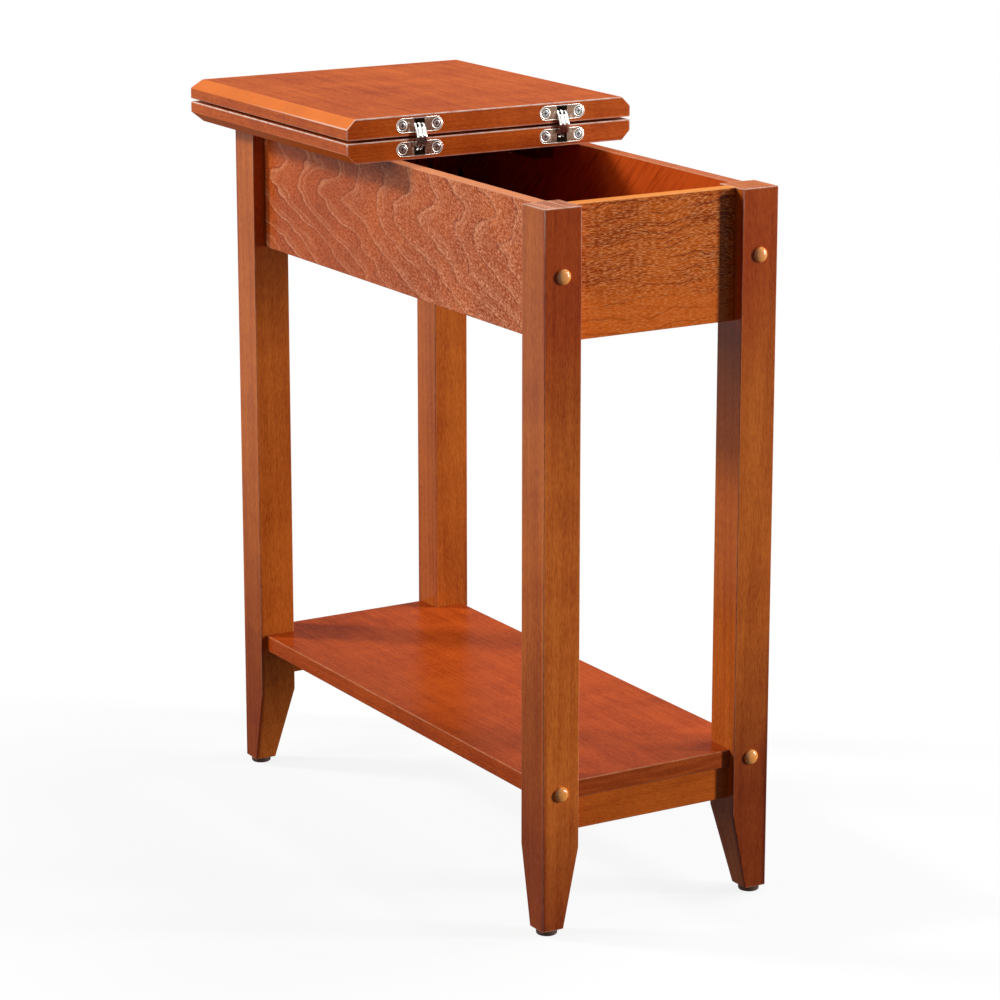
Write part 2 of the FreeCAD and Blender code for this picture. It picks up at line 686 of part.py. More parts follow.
stack_width = "4 * link_pitch + link_thickness"
for hinge_name, hinge_side in (("left_hinge", -1), ("right_hinge", 1)):
    build_cup(hinge_name + "_fixed_cup", hinge_side, -1)
    build_cup(hinge_name + "_flip_cup", hinge_side, 1)
    build_links(hinge_name + "_fixed_links", hinge_side, -1, (-2, 0, 2))
    build_links(hinge_name + "_flip_links", hinge_side, 1, (-1, 1))
    build_pin(hinge_name + "_fixed_pivot", hinge_side, "-pivot_inset", "-pivot_drop", "cup_width")
    build_pin(hinge_name + "_flip_pivot", hinge_side, "-pivot_inset", "pivot_drop", "cup_width")
    build_pin(hinge_name + "_center_pin", hinge_side, "apex_reach", "0", stack_width)
    build_pin(hinge_name + "_fixed_slider", hinge_side, "-slider_inset", "slider_rise", stack_width)
    build_pin(hinge_name + "_flip_slider", hinge_side, "-slider_inset", "-slider_rise",
              "2 * link_pitch + link_thickness")

for screw_label, screw_turn in (("hinge_screws_fixed", -1), ("hinge_screws_flip", 1)):
    screw_solids = []
    for side in (-1, 1):
        for sign in (-1, 1):
            along = (side * number("hinge_spacing") + sign * number("hinge_screw_spacing")) / 2
            face = FreeCAD.Vector(number("center_x - joint_gap / 2"), along,
                                  number(f"fold_height + {screw_turn} * hinge_drop"))
            screw_solids.append(hinge_screw(face))
    group(screw_label, screw_solids)


# Fasteners and small parts

def button(face, direction):
    """Return a domed plug whose rim lies on a face and whose dome looks along a direction."""
    rim = number("button_diameter") / 2
    crown = number("button_crown")
    stem = number("stem_diameter") / 2
    depth = number("stem_length")
    sphere = (rim * rim + crown * crown) / (2 * crown)
    turn = math.asin(rim / sphere) / 2
    low = crown - sphere
    top = FreeCAD.Vector(0, 0, crown)
    bend = FreeCAD.Vector(sphere * math.sin(turn), 0, low + sphere * math.cos(turn))
    edge = FreeCAD.Vector(rim, 0, 0)
    corners = [edge, FreeCAD.Vector(stem, 0, 0), FreeCAD.Vector(stem, 0, -depth),
               FreeCAD.Vector(0, 0, -depth), top]
    sides = [Part.Arc(top, bend, edge).toShape()]
    for start, end in zip(corners[:-1], corners[1:]):
        sides.append(Part.LineSegment(start, end).toShape())
    profile = Part.Face(Part.Wire(sides))
    solid = profile.revolve(FreeCAD.Vector(), FreeCAD.Vector(0, 0, 1), 360)
    solid.Placement = FreeCAD.Placement(
        face, FreeCAD.Rotation(FreeCAD.Vector(0, 0, 1), direction))
    return solid


def headed(face, direction, head_diameter, head_height, shank_diameter, length):
    """Return a screw or bolt whose head stands on a face and whose shank runs along a direction."""
    head = rod(head_diameter, head_height, face - direction * head_height, direction)
    return head.fuse(rod(shank_diameter, length, face, direction)).removeSplitter()


button_solids = []
bolt_solids = []
nut_solids = []
shelf_screw_solids = []
glide_solids = []
middle_x = number("center_x")
leg_middle = number("half_width - leg_size / 2")
for corner_name, corner_end, corner_side in CORNERS:
    outward = FreeCAD.Vector(corner_end, 0, 0)
    inward = FreeCAD.Vector(-corner_end, 0, 0)
    face_x = middle_x + corner_end * number("half_length")
    for height in ("bolt_height", "shelf_middle"):
        spot = FreeCAD.Vector(face_x, corner_side * leg_middle, number(height))
        button_solids.append(button(spot, outward))
    seat_x = face_x - corner_end * number("head_seat")
    seat = FreeCAD.Vector(seat_x, corner_side * leg_middle, number("bolt_height"))
    head_width = number("stem_diameter")
    head_height = number("bolt_head")
    shank = number("bolt_diameter")
    bolt_solids.append(headed(seat, inward, head_width, head_height, shank, number("bolt_length")))
    seat = FreeCAD.Vector(seat_x, corner_side * leg_middle, number("shelf_middle"))
    reach = number("leg_size - head_seat + shelf_screw_reach")
    shelf_screw_solids.append(headed(seat, inward, head_width, head_height, shank, reach))
    nut_x = middle_x + corner_end * number("side_panel_length / 2 - nut_setback")
    nut_start = FreeCAD.Vector(nut_x, corner_side * number("half_width - panel_inner"),
                               number("bolt_height"))
    nut = rod(number("nut_diameter"), number("nut_length"), nut_start,
              FreeCAD.Vector(0, corner_side, 0))
    thread = rod(number("bolt_bore"), number("nut_diameter + 2 * overrun"),
                 FreeCAD.Vector(nut_x - number("nut_diameter / 2 + overrun"),
                                corner_side * leg_middle, number("bolt_height")),
                 FreeCAD.Vector(1, 0, 0))
    nut_solids.append(nut.cut(thread))
    foot_x = face_x - corner_end * number("foot_size") / 2
    foot_y = corner_side * number("half_width - foot_size / 2")
    up = FreeCAD.Vector(0, 0, 1)
    rim = Part.makeCone(number("glide_diameter / 2 - glide_edge"), number("glide_diameter / 2"),
                        number("glide_edge"), FreeCAD.Vector(foot_x, foot_y, 0), up)
    disc = rod(number("glide_diameter"), number("glide_height - glide_edge"),
               FreeCAD.Vector(foot_x, foot_y, number("glide_edge")), up)
    nail = rod(number("nail_diameter"), number("nail_length"),
               FreeCAD.Vector(foot_x, foot_y, number("glide_height")), up)
    glide_solids.append(rim.fuse(disc).fuse(nail).removeSplitter())
group("cover_buttons", button_solids)
group("frame_bolts", bolt_solids)
group("barrel_nuts", nut_solids)
group("shelf_screws", shelf_screw_solids)
group("leg_glides", glide_solids)

side_dowels = []
end_dowels = []
rail_dowels = []
dowel_size = number("dowel_diameter")
dowel_reach = number("dowel_length")
for corner_name, corner_end, corner_side in CORNERS:
    for sign in (-1, 1):
        start = FreeCAD.Vector(middle_x + corner_end * number("half_length - leg_size")
                               - dowel_reach / 2, corner_side * leg_middle,
                               number(f"bolt_height + {sign} * side_dowel_spacing / 2"))
        side_dowels.append(rod(dowel_size, dowel_reach, start, FreeCAD.Vector(1, 0, 0)))
        along = corner_side * number("half_width - leg_size") - dowel_reach / 2
        start = FreeCAD.Vector(middle_x + corner_end * number("half_length - leg_size / 2"), along,
                               number(f"bolt_height + {sign} * end_dowel_spacing / 2"))
        end_dowels.append(rod(dowel_size, dowel_reach, start, FreeCAD.Vector(0, 1, 0)))
        start = FreeCAD.Vector(middle_x + corner_end * number("half_length - rail_place"), along,
                               number(f"rail_middle + {sign} * rail_dowel_spacing / 2"))
        rail_dowels.append(rod(dowel_size, dowel_reach, start, FreeCAD.Vector(0, 1, 0)))
group("side_panel_dowels", side_dowels)
group("end_panel_dowels", end_dowels)
group("rail_dowels", rail_dowels)

cleat_screws = []
for side in (-1, 1):
    screw_sizes = (number("cleat_head_diameter"), number("cleat_head_height"),
                   number("screw_diameter"), number("cleat_screw_length"))
    for share in SIDE_SCREW_SHARES:
        across = middle_x + number("cleat_start") + share * number("cleat_length")
        face = FreeCAD.Vector(across, side * number("cleat_side - cleat_size / 2"),
                              number("top_height - cleat_size / 2"))
        cleat_screws.append(headed(face, FreeCAD.Vector(0, side, 0), *screw_sizes))
    for share in LEAF_SCREW_SHARES:
        across = middle_x + number("cleat_start") + share * number("cleat_length")
        face = FreeCAD.Vector(across, side * number("cleat_side"),
                              number("top_height - cleat_size"))
        cleat_screws.append(headed(face, FreeCAD.Vector(0, 0, 1), *screw_sizes))
group("cleat_screws", cleat_screws)

doc.recompute()

# Every object must be sound, and every cut must take something away
for item in doc.Objects:
    if "Invalid" in item.State or "Error" in item.State:
        raise RuntimeError(f"{item.Label} is in state {item.State}")
    if item.isDerivedFrom("PartDesign::Pocket") or item.TypeId == "PartDesign::SubtractiveLoft":
        if not item.Shape.Volume < item.BaseFeature.Shape.Volume:
            raise RuntimeError(f"{item.Label} cuts nothing")

os.makedirs("parts", exist_ok=True)
for node in nodes:
    if node.Shape.isNull() or not node.Shape.isValid():
        raise RuntimeError(f"{node.Label} has no valid shape")
    node.Shape.exportStep(f"parts/{node.Label}.step")
print("nodes", len(nodes))
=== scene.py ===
"""Looks of the flip-top end table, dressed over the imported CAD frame.

Lengths are metres in the row frame: +X to the open front end, +Y to the right long side, +Z up.
"""

from __future__ import annotations

import logging
import math
from dataclasses import dataclass
from enum import Enum
from functools import cached_property, partialmethod
from typing import Any, Mapping, Optional, Sequence, Union

import bpy
import numpy as np
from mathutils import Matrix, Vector


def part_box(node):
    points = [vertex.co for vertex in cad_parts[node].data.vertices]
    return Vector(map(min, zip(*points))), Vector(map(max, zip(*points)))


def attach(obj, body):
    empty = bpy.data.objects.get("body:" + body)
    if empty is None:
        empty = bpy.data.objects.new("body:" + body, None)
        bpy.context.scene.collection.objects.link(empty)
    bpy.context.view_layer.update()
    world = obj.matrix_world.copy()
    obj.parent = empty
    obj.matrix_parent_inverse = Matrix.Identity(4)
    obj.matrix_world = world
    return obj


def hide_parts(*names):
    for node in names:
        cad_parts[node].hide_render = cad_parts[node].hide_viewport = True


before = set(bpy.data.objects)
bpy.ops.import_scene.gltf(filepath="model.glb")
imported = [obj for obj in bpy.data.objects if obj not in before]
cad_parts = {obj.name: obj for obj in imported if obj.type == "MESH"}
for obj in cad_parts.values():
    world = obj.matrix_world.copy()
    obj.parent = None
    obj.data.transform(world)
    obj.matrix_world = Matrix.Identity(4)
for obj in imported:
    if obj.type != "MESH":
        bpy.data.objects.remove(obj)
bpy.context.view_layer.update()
LOG = logging.getLogger("end_table")

Color = tuple[float, float, float]
Point = tuple[float, float, float]
Fold = tuple[bool, bool, bool]
Input = Union["Signal", float, Sequence[float]]
Material = bpy.types.Material

# Middle between the ends, outer faces of the legs from it, and the hinge edges of the leaves
CENTER_X = 0.01275
LEG_END = 0.273
LEG_SIDE = 0.113
HINGE_EDGE_X = 0.01225
# Corners of a turned circle
CIRCLE_STEPS = 48
# Depth of the top edges below the top of a piece
TOP_EDGE = 0.002
# Angles above which an edge is shaded sharp, and above which it is eased
SHARP_ANGLE = math.radians(38)
EASED_ANGLE = math.radians(40)
ENDS = ("front", "rear")
HANDS = ("left", "right")


class Axis(Enum):
    """Axis of the frame, such as the direction of a grain."""

    X = 0
    Y = 1
    Z = 2


class Signal:
    """An output socket, on which Python arithmetic adds Math nodes."""

    def __init__(self, graph: Graph, socket: bpy.types.NodeSocket) -> None:
        """Keeps the socket and the graph that it belongs to."""
        self.graph = graph
        self.socket = socket

    def before(self, kind: str, other: Input) -> Signal:
        """A Math node of this signal and another value."""
        return self.graph.math(kind, self, other)

    def after(self, kind: str, other: Input) -> Signal:
        """A Math node of another value and this signal."""
        return self.graph.math(kind, other, self)

    __add__, __radd__ = partialmethod(before, "ADD"), partialmethod(after, "ADD")
    __sub__, __rsub__ = partialmethod(before, "SUBTRACT"), partialmethod(after, "SUBTRACT")
    __mul__, __rmul__ = partialmethod(before, "MULTIPLY"), partialmethod(after, "MULTIPLY")
    __truediv__, __rtruediv__ = partialmethod(before, "DIVIDE"), partialmethod(after, "DIVIDE")
    __pow__ = partialmethod(before, "POWER")

    def __abs__(self) -> Signal:
        """Size without sign."""
        return self.graph.math("ABSOLUTE", self)

    def split(self) -> tuple[Signal, ...]:
        """The three parts of a vector."""
        node = self.graph.add("ShaderNodeSeparateXYZ", sockets={0: self}).socket.node
        return tuple(Signal(self.graph, socket) for socket in node.outputs)

    def drawn(self, axis: Axis, share: float) -> Signal:
        """Coordinates on which noise comes out drawn along one axis."""
        parts = [part * share if one is axis else part for part, one in zip(self.split(), Axis)]
        return self.graph.join(*parts)

    def noise(self, scale: float, detail: float = 2.0, rough: float = 0.5) -> Signal:
        """Soft noise at these coordinates, from about 0.2 to 0.8."""
        sockets = {"Vector": self, "Scale": scale, "Detail": detail, "Roughness": rough}
        return self.graph.add("ShaderNodeTexNoise", sockets=sockets)

    def rise(self, low: float, high: float) -> Signal:
        """A smooth step from 0 at low to 1 at high."""
        sockets = {"Value": self, "From Min": low, "From Max": high}
        return self.graph.add("ShaderNodeMapRange", {"interpolation_type": "SMOOTHSTEP"}, sockets)

    def hump(self, low: float, high: float, fall: float, end: float) -> Signal:
        """A smooth step from low up to high, and down again from fall to end."""
        return self.rise(low, high) - self.rise(fall, end)


class Graph:
    """The nodes of one material or of the world, all added by one method."""

    def __init__(self, tree: bpy.types.NodeTree) -> None:
        """Empties the tree."""
        self.tree = tree
        tree.nodes.clear()

    @cached_property
    def point(self) -> Signal:
        """Object coordinates, which are metres in the row frame."""
        return self.add("ShaderNodeTexCoord", out="Object")

    @cached_property
    def parts(self) -> tuple[Signal, ...]:
        """X, Y and Z of the object coordinates."""
        return self.point.split()

    def add(
        self,
        kind: str,
        settings: Optional[Mapping[str, Any]] = None,
        sockets: Optional[Mapping[Union[str, int], Input]] = None,
        out: Union[str, int] = 0,
    ) -> Signal:
        """Adds a node.

        Args:
            kind: Blender's type name of the node.
            settings: Properties, set before the inputs.
            sockets: Values or links of the inputs, by name or number.
            out: The output that is given back.

        Returns:
            The chosen output, or the first input of a node that has no output.
        """
        node = self.tree.nodes.new(kind)
        for key, value in (settings or {}).items():
            setattr(node, key, value)
        for key, value in (sockets or {}).items():
            target = node.inputs[key]
            if isinstance(value, Signal):
                self.tree.links.new(value.socket, target)
            elif target.type == "RGBA" and len(value) == 3:
                target.default_value = (*value, 1.0)
            else:
                target.default_value = value
        return Signal(self, node.outputs[out] if len(node.outputs) else node.inputs[0])

    def math(self, operation: str, *values: Input) -> Signal:
        """A Math node of that operation on the values."""
        return self.add("ShaderNodeMath", {"operation": operation}, dict(enumerate(values)))

    def join(self, x: Input, y: Input, z: Input) -> Signal:
        """A vector of three parts."""
        return self.add("ShaderNodeCombineXYZ", sockets={0: x, 1: y, 2: z})

    def blend(self, first: Input, second: Input, share: Input, mode: str = "MIX") -> Signal:
        """Two colours mixed by a share from 0 to 1."""
        settings = {"data_type": "RGBA", "blend_type": mode}
        return self.add("ShaderNodeMix", settings, {0: share, 6: first, 7: second}, out=2)

    def bump(self, height: Signal, strength: float, distance: float) -> Signal:
        """A normal that follows a height."""
        sockets = {"Strength": strength, "Distance": distance, "Height": height}
        return self.add("ShaderNodeBump", sockets=sockets)

    def surface(self, sockets: Mapping[str, Input]) -> None:
        """Ends a material with one shader of these inputs."""
        shader = self.add("ShaderNodeBsdfPrincipled", sockets=sockets)
        self.add("ShaderNodeOutputMaterial", sockets={"Surface": shader})


def corners(node: str) -> tuple[np.ndarray, np.ndarray]:
    """Lowest and highest corner of a CAD node."""
    low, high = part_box(node)
    return np.array(low), np.array(high)


@dataclass(frozen=True)
class WearAndHighlightBox:
    """The box whose edges are scuffed and carry painted highlights, strongest on its top edges, folded onto
    one quarter of the table.
    """

    folded: Fold
    middle: Point
    half: Point
    above: float
    fade: float
    sharp: float = 0.0002
    low_share: float = 0.25

    @classmethod
    def of_node(cls, node: str, folded: Fold = (False, False, False), fade: float = 0.001) -> WearAndHighlightBox:
        """Box of a CAD node on the positive side of the folded axes, with painted highlights strongest on
        its top edges.

        Args:
            node: Name of the CAD node.
            folded: Axes on which the piece has a mirror image with the same finish.
            fade: Height below the top edges over which the stronger painted highlight of the top edges
                fades.

        Returns:
            The box for the finish.
        """
        low, high = corners(node)
        shift = np.where(folded, (CENTER_X, 0.0, 0.0), 0.0)
        middle = (low + high) / 2 - shift
        middle = np.where(folded, abs(middle), middle)
        return cls(folded, tuple(middle), tuple((high - low) / 2), high[2] - TOP_EDGE, fade)

    def mask(self, graph: Graph, width: float) -> Signal:
        """Where the edges of the box are, for scuffs and painted highlights.

        The depth below each pair of faces is half the size less the distance from the middle. On an edge
        two of the three depths are small, so the middle one of the three tells an edge from a face.

        Args:
            graph: Nodes of the material.
            width: How far the scuffs and painted highlights reach from an edge.

        Returns:
            1 on the top edges, where the painted highlight is strongest, the low share on the others, and 0
            past width from them.
        """
        depths = []
        rows = zip(graph.parts, (CENTER_X, 0.0, 0.0), self.folded, self.middle, self.half)
        for part, about, fold, middle, half in rows:
            folded = abs(part - about) if fold else part
            depths.append(half - abs(folded - middle))
        low = graph.math("MINIMUM", depths[0], depths[1])
        high = graph.math("MAXIMUM", depths[0], depths[1])
        second = graph.math("MAXIMUM", low, graph.math("MINIMUM", high, depths[2]))
        # Painted highlight: the top edges, which face the light, get the full share, the others the low
        # share.
        upper = graph.parts[2].rise(self.above - self.fade, self.above)
        share = self.low_share + upper * (1.0 - self.low_share)
        return (1.0 - second.rise(self.sharp, width)) * share


class Layer:
    """One layer of a finish, painted over the colour below it."""

    def paint(self, graph: Graph, color: Signal) -> Signal:
        """Paints the layer.

        Args:
            graph: Nodes of the material.
            color: Colour below.

        Returns:
            The colour with this layer.
        """
        raise NotImplementedError


@dataclass(frozen=True)
class ScuffedAndHighlitEdges(Layer):
    """Edges of a box, pale from scuffs and from painted highlights."""

    box: WearAndHighlightBox
    pale: Color = (0.80, 0.40, 0.20)
    width: float = 0.0022
    share: float = 0.3

    def paint(self, graph: Graph, color: Signal) -> Signal:
        """Pale on the edges, as scuffs and painted highlights, and palest in the scuffs.

        Args:
            graph: Nodes of the material.
            color: Colour below.

        Returns:
            The colour with this layer.
        """
        scuff = graph.point.noise(90, 3, 0.7).rise(0.25, 0.7)
        mask = self.box.mask(graph, self.width)
        return graph.blend(color, self.pale, mask * (scuff * 0.6 + 0.4) * self.share)


@dataclass(frozen=True)
class PaintedLightBevel(Layer):
    """The bevels round three sides of a leaf, in a colour that paints the light falling on them, with
    painted highlights on their rims.
    """

    face_z: float
    up: float
    lit_bevel: Color
    pale: Color
    rim_share: float
    half_y: float = 0.143
    rear_x: float = -0.28975
    size: float = 0.0083

    def paint(self, graph: Graph, color: Signal) -> Signal:
        """Painted lit colour on the bevels, and painted highlights on their rims, both clearest towards the
        hinges.

        On a bevel, the depths below the face and below the side add up to the bevel's size. Its rims are
        where the depth below the side or the distance to the hinge edge is small.

        Args:
            graph: Nodes of the material.
            color: Colour below.

        Returns:
            The colour with this layer.
        """
        x, y, z = graph.parts
        below = (self.face_z - z) * self.up
        beside = graph.math("MINIMUM", self.half_y - abs(y), x - self.rear_x)
        bevel = 1.0 - abs(below + beside - self.size).rise(0.0003, 0.0008)
        near = graph.math("MINIMUM", beside * 1.6, HINGE_EDGE_X - x)
        rim = bevel * (1.0 - near.rise(0.0003, 0.0012))
        cloud = graph.point.noise(14, 3, 0.6).rise(0.30, 0.66)
        forward = x.rise(-0.20, 0.01)
        # Painted light: the bevel's lit colour, stronger towards the hinge.
        color = graph.blend(color, self.lit_bevel, bevel * (0.58 + forward * 0.17 + cloud * 0.2))
        # Painted highlight on the rims.
        return graph.blend(color, self.pale, rim * forward * self.rim_share)


@dataclass(frozen=True)
class EndGrain(Layer):
    """Specked and striped end grain where the wood is cut across."""

    grain: Axis
    low: float
    high: float
    colors: tuple[Color, Color] = ((0.20, 0.030, 0.005), (0.42, 0.085, 0.016))
    share: float = 0.7
    stripe: Axis = Axis.Y
    right_loss: float = 0.0

    def paint(self, graph: Graph, color: Signal) -> Signal:
        """Two colours mixed by specks and stripes within a millimetre of the ends, less on the right.

        Args:
            graph: Nodes of the material.
            color: Colour below.

        Returns:
            The colour with this layer.
        """
        along = graph.parts[self.grain.value]
        depth = graph.math("MINIMUM", along - self.low, self.high - along)
        cut = 1.0 - depth.rise(0.0004, 0.0010)
        speck = graph.point.noise(950, 1).rise(0.40, 0.64)
        stripe = graph.point.drawn(self.stripe, 0.08).noise(330, 2).rise(0.38, 0.66)
        raw = graph.blend(*self.colors, speck * 0.45 + stripe * 0.55)
        right = graph.parts[1].rise(-0.02, 0.02)
        return graph.blend(color, raw, cut * self.share * (1.0 - right * self.right_loss))


@dataclass(frozen=True)
class LegStainAndPaintedLight(Layer):
    """A tint on the outer faces of the legs across one axis, from one height to another, used for a darker
    stain, for painted shade and for painted light.
    """

    axis: Axis
    start: float
    full: float
    tint: Color
    share: float
    lean: float = 0.0

    def paint(self, graph: Graph, color: Signal) -> Signal:
        """Colour times the tint, which fades below the face and between the two heights.

        Slow noise makes the heights uneven, and they lie lean times Y higher.

        Args:
            graph: Nodes of the material.
            color: Colour below.

        Returns:
            The colour with this layer.
        """
        x, y, z = graph.parts
        reach = abs(x - CENTER_X) - LEG_END if self.axis is Axis.X else abs(y) - LEG_SIDE
        cloud = graph.point.drawn(Axis.Z, 0.4).noise(30, 2)
        level = (z - y * self.lean + (cloud - 0.5) * 0.12).rise(self.start, self.full)
        mask = (1.0 - abs(reach).rise(0.0008, 0.005)) * level * self.share
        return graph.blend(color, self.tint, mask, "MULTIPLY")


@dataclass(frozen=True)
class Lacquer:
    """Clear coat over stained wood, shared by the wood finishes.

    The coat shows most at a slanting look. Head on and at a grazing look it thins, so that fronts and level
    tops keep their colour under a pale room.
    """

    rough: float = 0.5
    coat: float = 0.34
    coat_rough: float = 0.20
    grazing_loss: float = 0.72
    facing_loss: float = 0.55
    grain_depth: float = 0.0006

    def surface(self, graph: Graph, color: Signal, rough: Signal, height: Signal, relief: float) -> None:
        """Ends a wood material with the coat.

        Args:
            graph: Nodes of the material.
            color: Stained colour.
            rough: Roughness over the surface.
            height: Open grain, from 0 to 1.
            relief: Strength of the open grain in the light.
        """
        facing = graph.add("ShaderNodeLayerWeight", sockets={"Blend": 0.5}, out="Facing")
        coat = self.coat * (1.0 - self.grazing_loss * facing.rise(0.48, 0.80))
        coat = coat * (1.0 - self.facing_loss * (1.0 - facing.rise(0.12, 0.45)))
        graph.surface({
            "Base Color": color,
            "Roughness": rough,
            "Normal": graph.bump(height, relief, self.grain_depth),
            "Specular IOR Level": 0.0,
            "Coat Weight": coat,
            "Coat Roughness": self.coat_rough,
        })


def added(name: str, data: bpy.types.ID) -> bpy.types.Object:
    """A new object in the scene, at the origin.

    Args:
        name: Name of the object.
        data: Its mesh, camera or light.

    Returns:
        The object.
    """
    made = bpy.data.objects.new(name, data)
    bpy.context.scene.collection.objects.link(made)
    return made


def aim(made: bpy.types.Object, place: Vector, look: Vector) -> None:
    """Puts a camera or a lamp at a place and turns it to look in a direction."""
    made.location = place
    made.rotation_euler = look.to_track_quat("-Z", "Y").to_euler()


def new_graph(name: str) -> tuple[Material, Graph]:
    """A new material with an empty node tree.

    Args:
        name: Name of the material.

    Returns:
        The material and the graph of its nodes.
    """
    material = bpy.data.materials.new(name)
    material.use_nodes = True
    return material, Graph(material.node_tree)


@dataclass(frozen=True)
class SolidWood:
    """Stained wood cut from the solid, so faces show long grain and ends show end grain."""

    name: str
    grain: Axis
    light: Color
    deep: Color
    pore_tint: Color = (0.40, 0.28, 0.24)
    pith: tuple[float, float] = (0.05, 0.31)
    tilt: float = 0.05
    ring_spacing: float = 0.009
    ring_share: float = 0.16
    fibre_share: float = 0.5
    mottle_share: float = 0.5
    pore_share: float = 0.14
    waviness: float = 0.012
    lipped: Optional[tuple[float, float]] = None
    joint_half: float = 2e-4
    stains: tuple[Layer, ...] = ()
    layers: tuple[Layer, ...] = ()
    lacquer: Lacquer = Lacquer()

    def figure(self, graph: Graph, grain: Axis) -> tuple[Signal, Signal]:
        """Tone and pores of the wood.

        Growth rings are distances from a slightly tilted pith line, bent by slow noise. Fibre and bands are
        fine and broad noise drawn out along the grain, pores are short dashes, and the stain lies in soft
        clouds across the grain.

        Args:
            graph: Nodes of the material.
            grain: Direction of the grain.

        Returns:
            Tone from 0, light, to 1, deep, and pores from 0 to 1.
        """
        along = graph.parts[grain.value]
        across, through = (part for part, axis in zip(graph.parts, Axis) if axis is not grain)

        def drawn(share: float) -> Signal:
            """Coordinates drawn out along the grain."""
            return graph.join(along * share, across, through)

        bend = (drawn(0.05).noise(38, 2) - 0.5) * self.waviness
        offset = across - self.pith[0] + along * self.tilt
        depth = through - self.pith[1]
        radius = (offset * offset + depth * depth) ** 0.5 + bend
        ring = graph.math("FRACT", radius / self.ring_spacing)
        late = ring.hump(0.25, 0.92, 0.93, 1.0)
        fibre = drawn(0.022).noise(620, 3, 0.65)
        band = drawn(0.10).noise(75, 2)
        cloud = graph.join(along, across * 0.35, through * 0.35).noise(26, 3, 0.6)
        patch = drawn(0.5).noise(9, 2)
        grit = drawn(0.24).noise(820, 2, 0.6)
        pores = drawn(0.06).noise(1300, 1).rise(0.58, 0.72)
        tone = 0.42 + (late - 0.4) * self.ring_share + (fibre - 0.5) * (1.5 * self.fibre_share)
        tone = tone + (band - 0.5) * 0.65 + (grit - 0.5) * 1.4
        tone = tone + (cloud - 0.5) * (1.3 * self.mottle_share) + (patch - 0.5) * self.mottle_share
        return tone, pores

    def lipped_figure(self, graph: Graph) -> tuple[Signal, Signal]:
        """Tone and pores, with the grain along Y on strips glued to both X ends.

        Args:
            graph: Nodes of the material.

        Returns:
            Tone and pores, as figure gives them.
        """
        tone, pores = self.figure(graph, self.grain)
        if self.lipped is None:
            return tone, pores
        joints = [place + side * self.joint_half for place in self.lipped for side in (-1, 1)]
        inside = graph.parts[0].hump(*joints)
        strip_tone, strip_pores = self.figure(graph, Axis.Y)
        tone = tone * inside + (strip_tone + 0.1) * (1.0 - inside)
        return tone, pores * inside + strip_pores * (1.0 - inside)

    def material(self) -> Material:
        """The material: figure, stains, pores and layers over each other.

        Returns:
            The new material.
        """
        material, graph = new_graph(self.name)
        tone, pores = self.lipped_figure(graph)
        color = graph.blend(self.light, self.deep, tone)
        for stain in self.stains:
            color = stain.paint(graph, color)
        dark = graph.blend(color, self.pore_tint, 1.0, "MULTIPLY")
        color = graph.blend(color, dark, pores * self.pore_share)
        for layer in self.layers:
            color = layer.paint(graph, color)
        rough = self.lacquer.rough + pores * 0.12 + tone * 0.05
        self.lacquer.surface(graph, color, rough, tone * 0.25 - pores, 0.06)
        return material


@dataclass(frozen=True, kw_only=True)
class Veneer:
    """A veneered panel: its stain, the lip along its top edge, its scuffed edges with painted highlights,
    and its coat.
    """

    name: str
    light: Color
    deep: Color
    fleck_and_glint: Color
    lip: Color
    low: float
    height: float
    wear_and_highlight: WearAndHighlightBox
    lacquer: Lacquer
    wear_and_highlight_width: float = 0.0012

    def edged(self, graph: Graph, color: Signal, lip: Input, cover: Signal, wear_and_highlight_share: float) -> Signal:
        """Colour with the lip, and with pale edges: scuffs and painted highlights.

        Args:
            graph: Nodes of the material.
            color: Colour of the veneer.
            lip: Colour of the lip.
            cover: How much the lip's colour covers.
            wear_and_highlight_share: Share of the pale colour, scuffs and painted highlight, on the edges.

        Returns:
            The colour with edges.
        """
        top = self.low + self.height
        edge = graph.parts[2].rise(top - 0.0012, top - 0.0006)
        color = graph.blend(color, lip, edge * cover)
        # Painted highlight along the edges, together with pale scuffing.
        return graph.blend(color, self.fleck_and_glint, self.wear_and_highlight.mask(graph, self.wear_and_highlight_width) * wear_and_highlight_share)


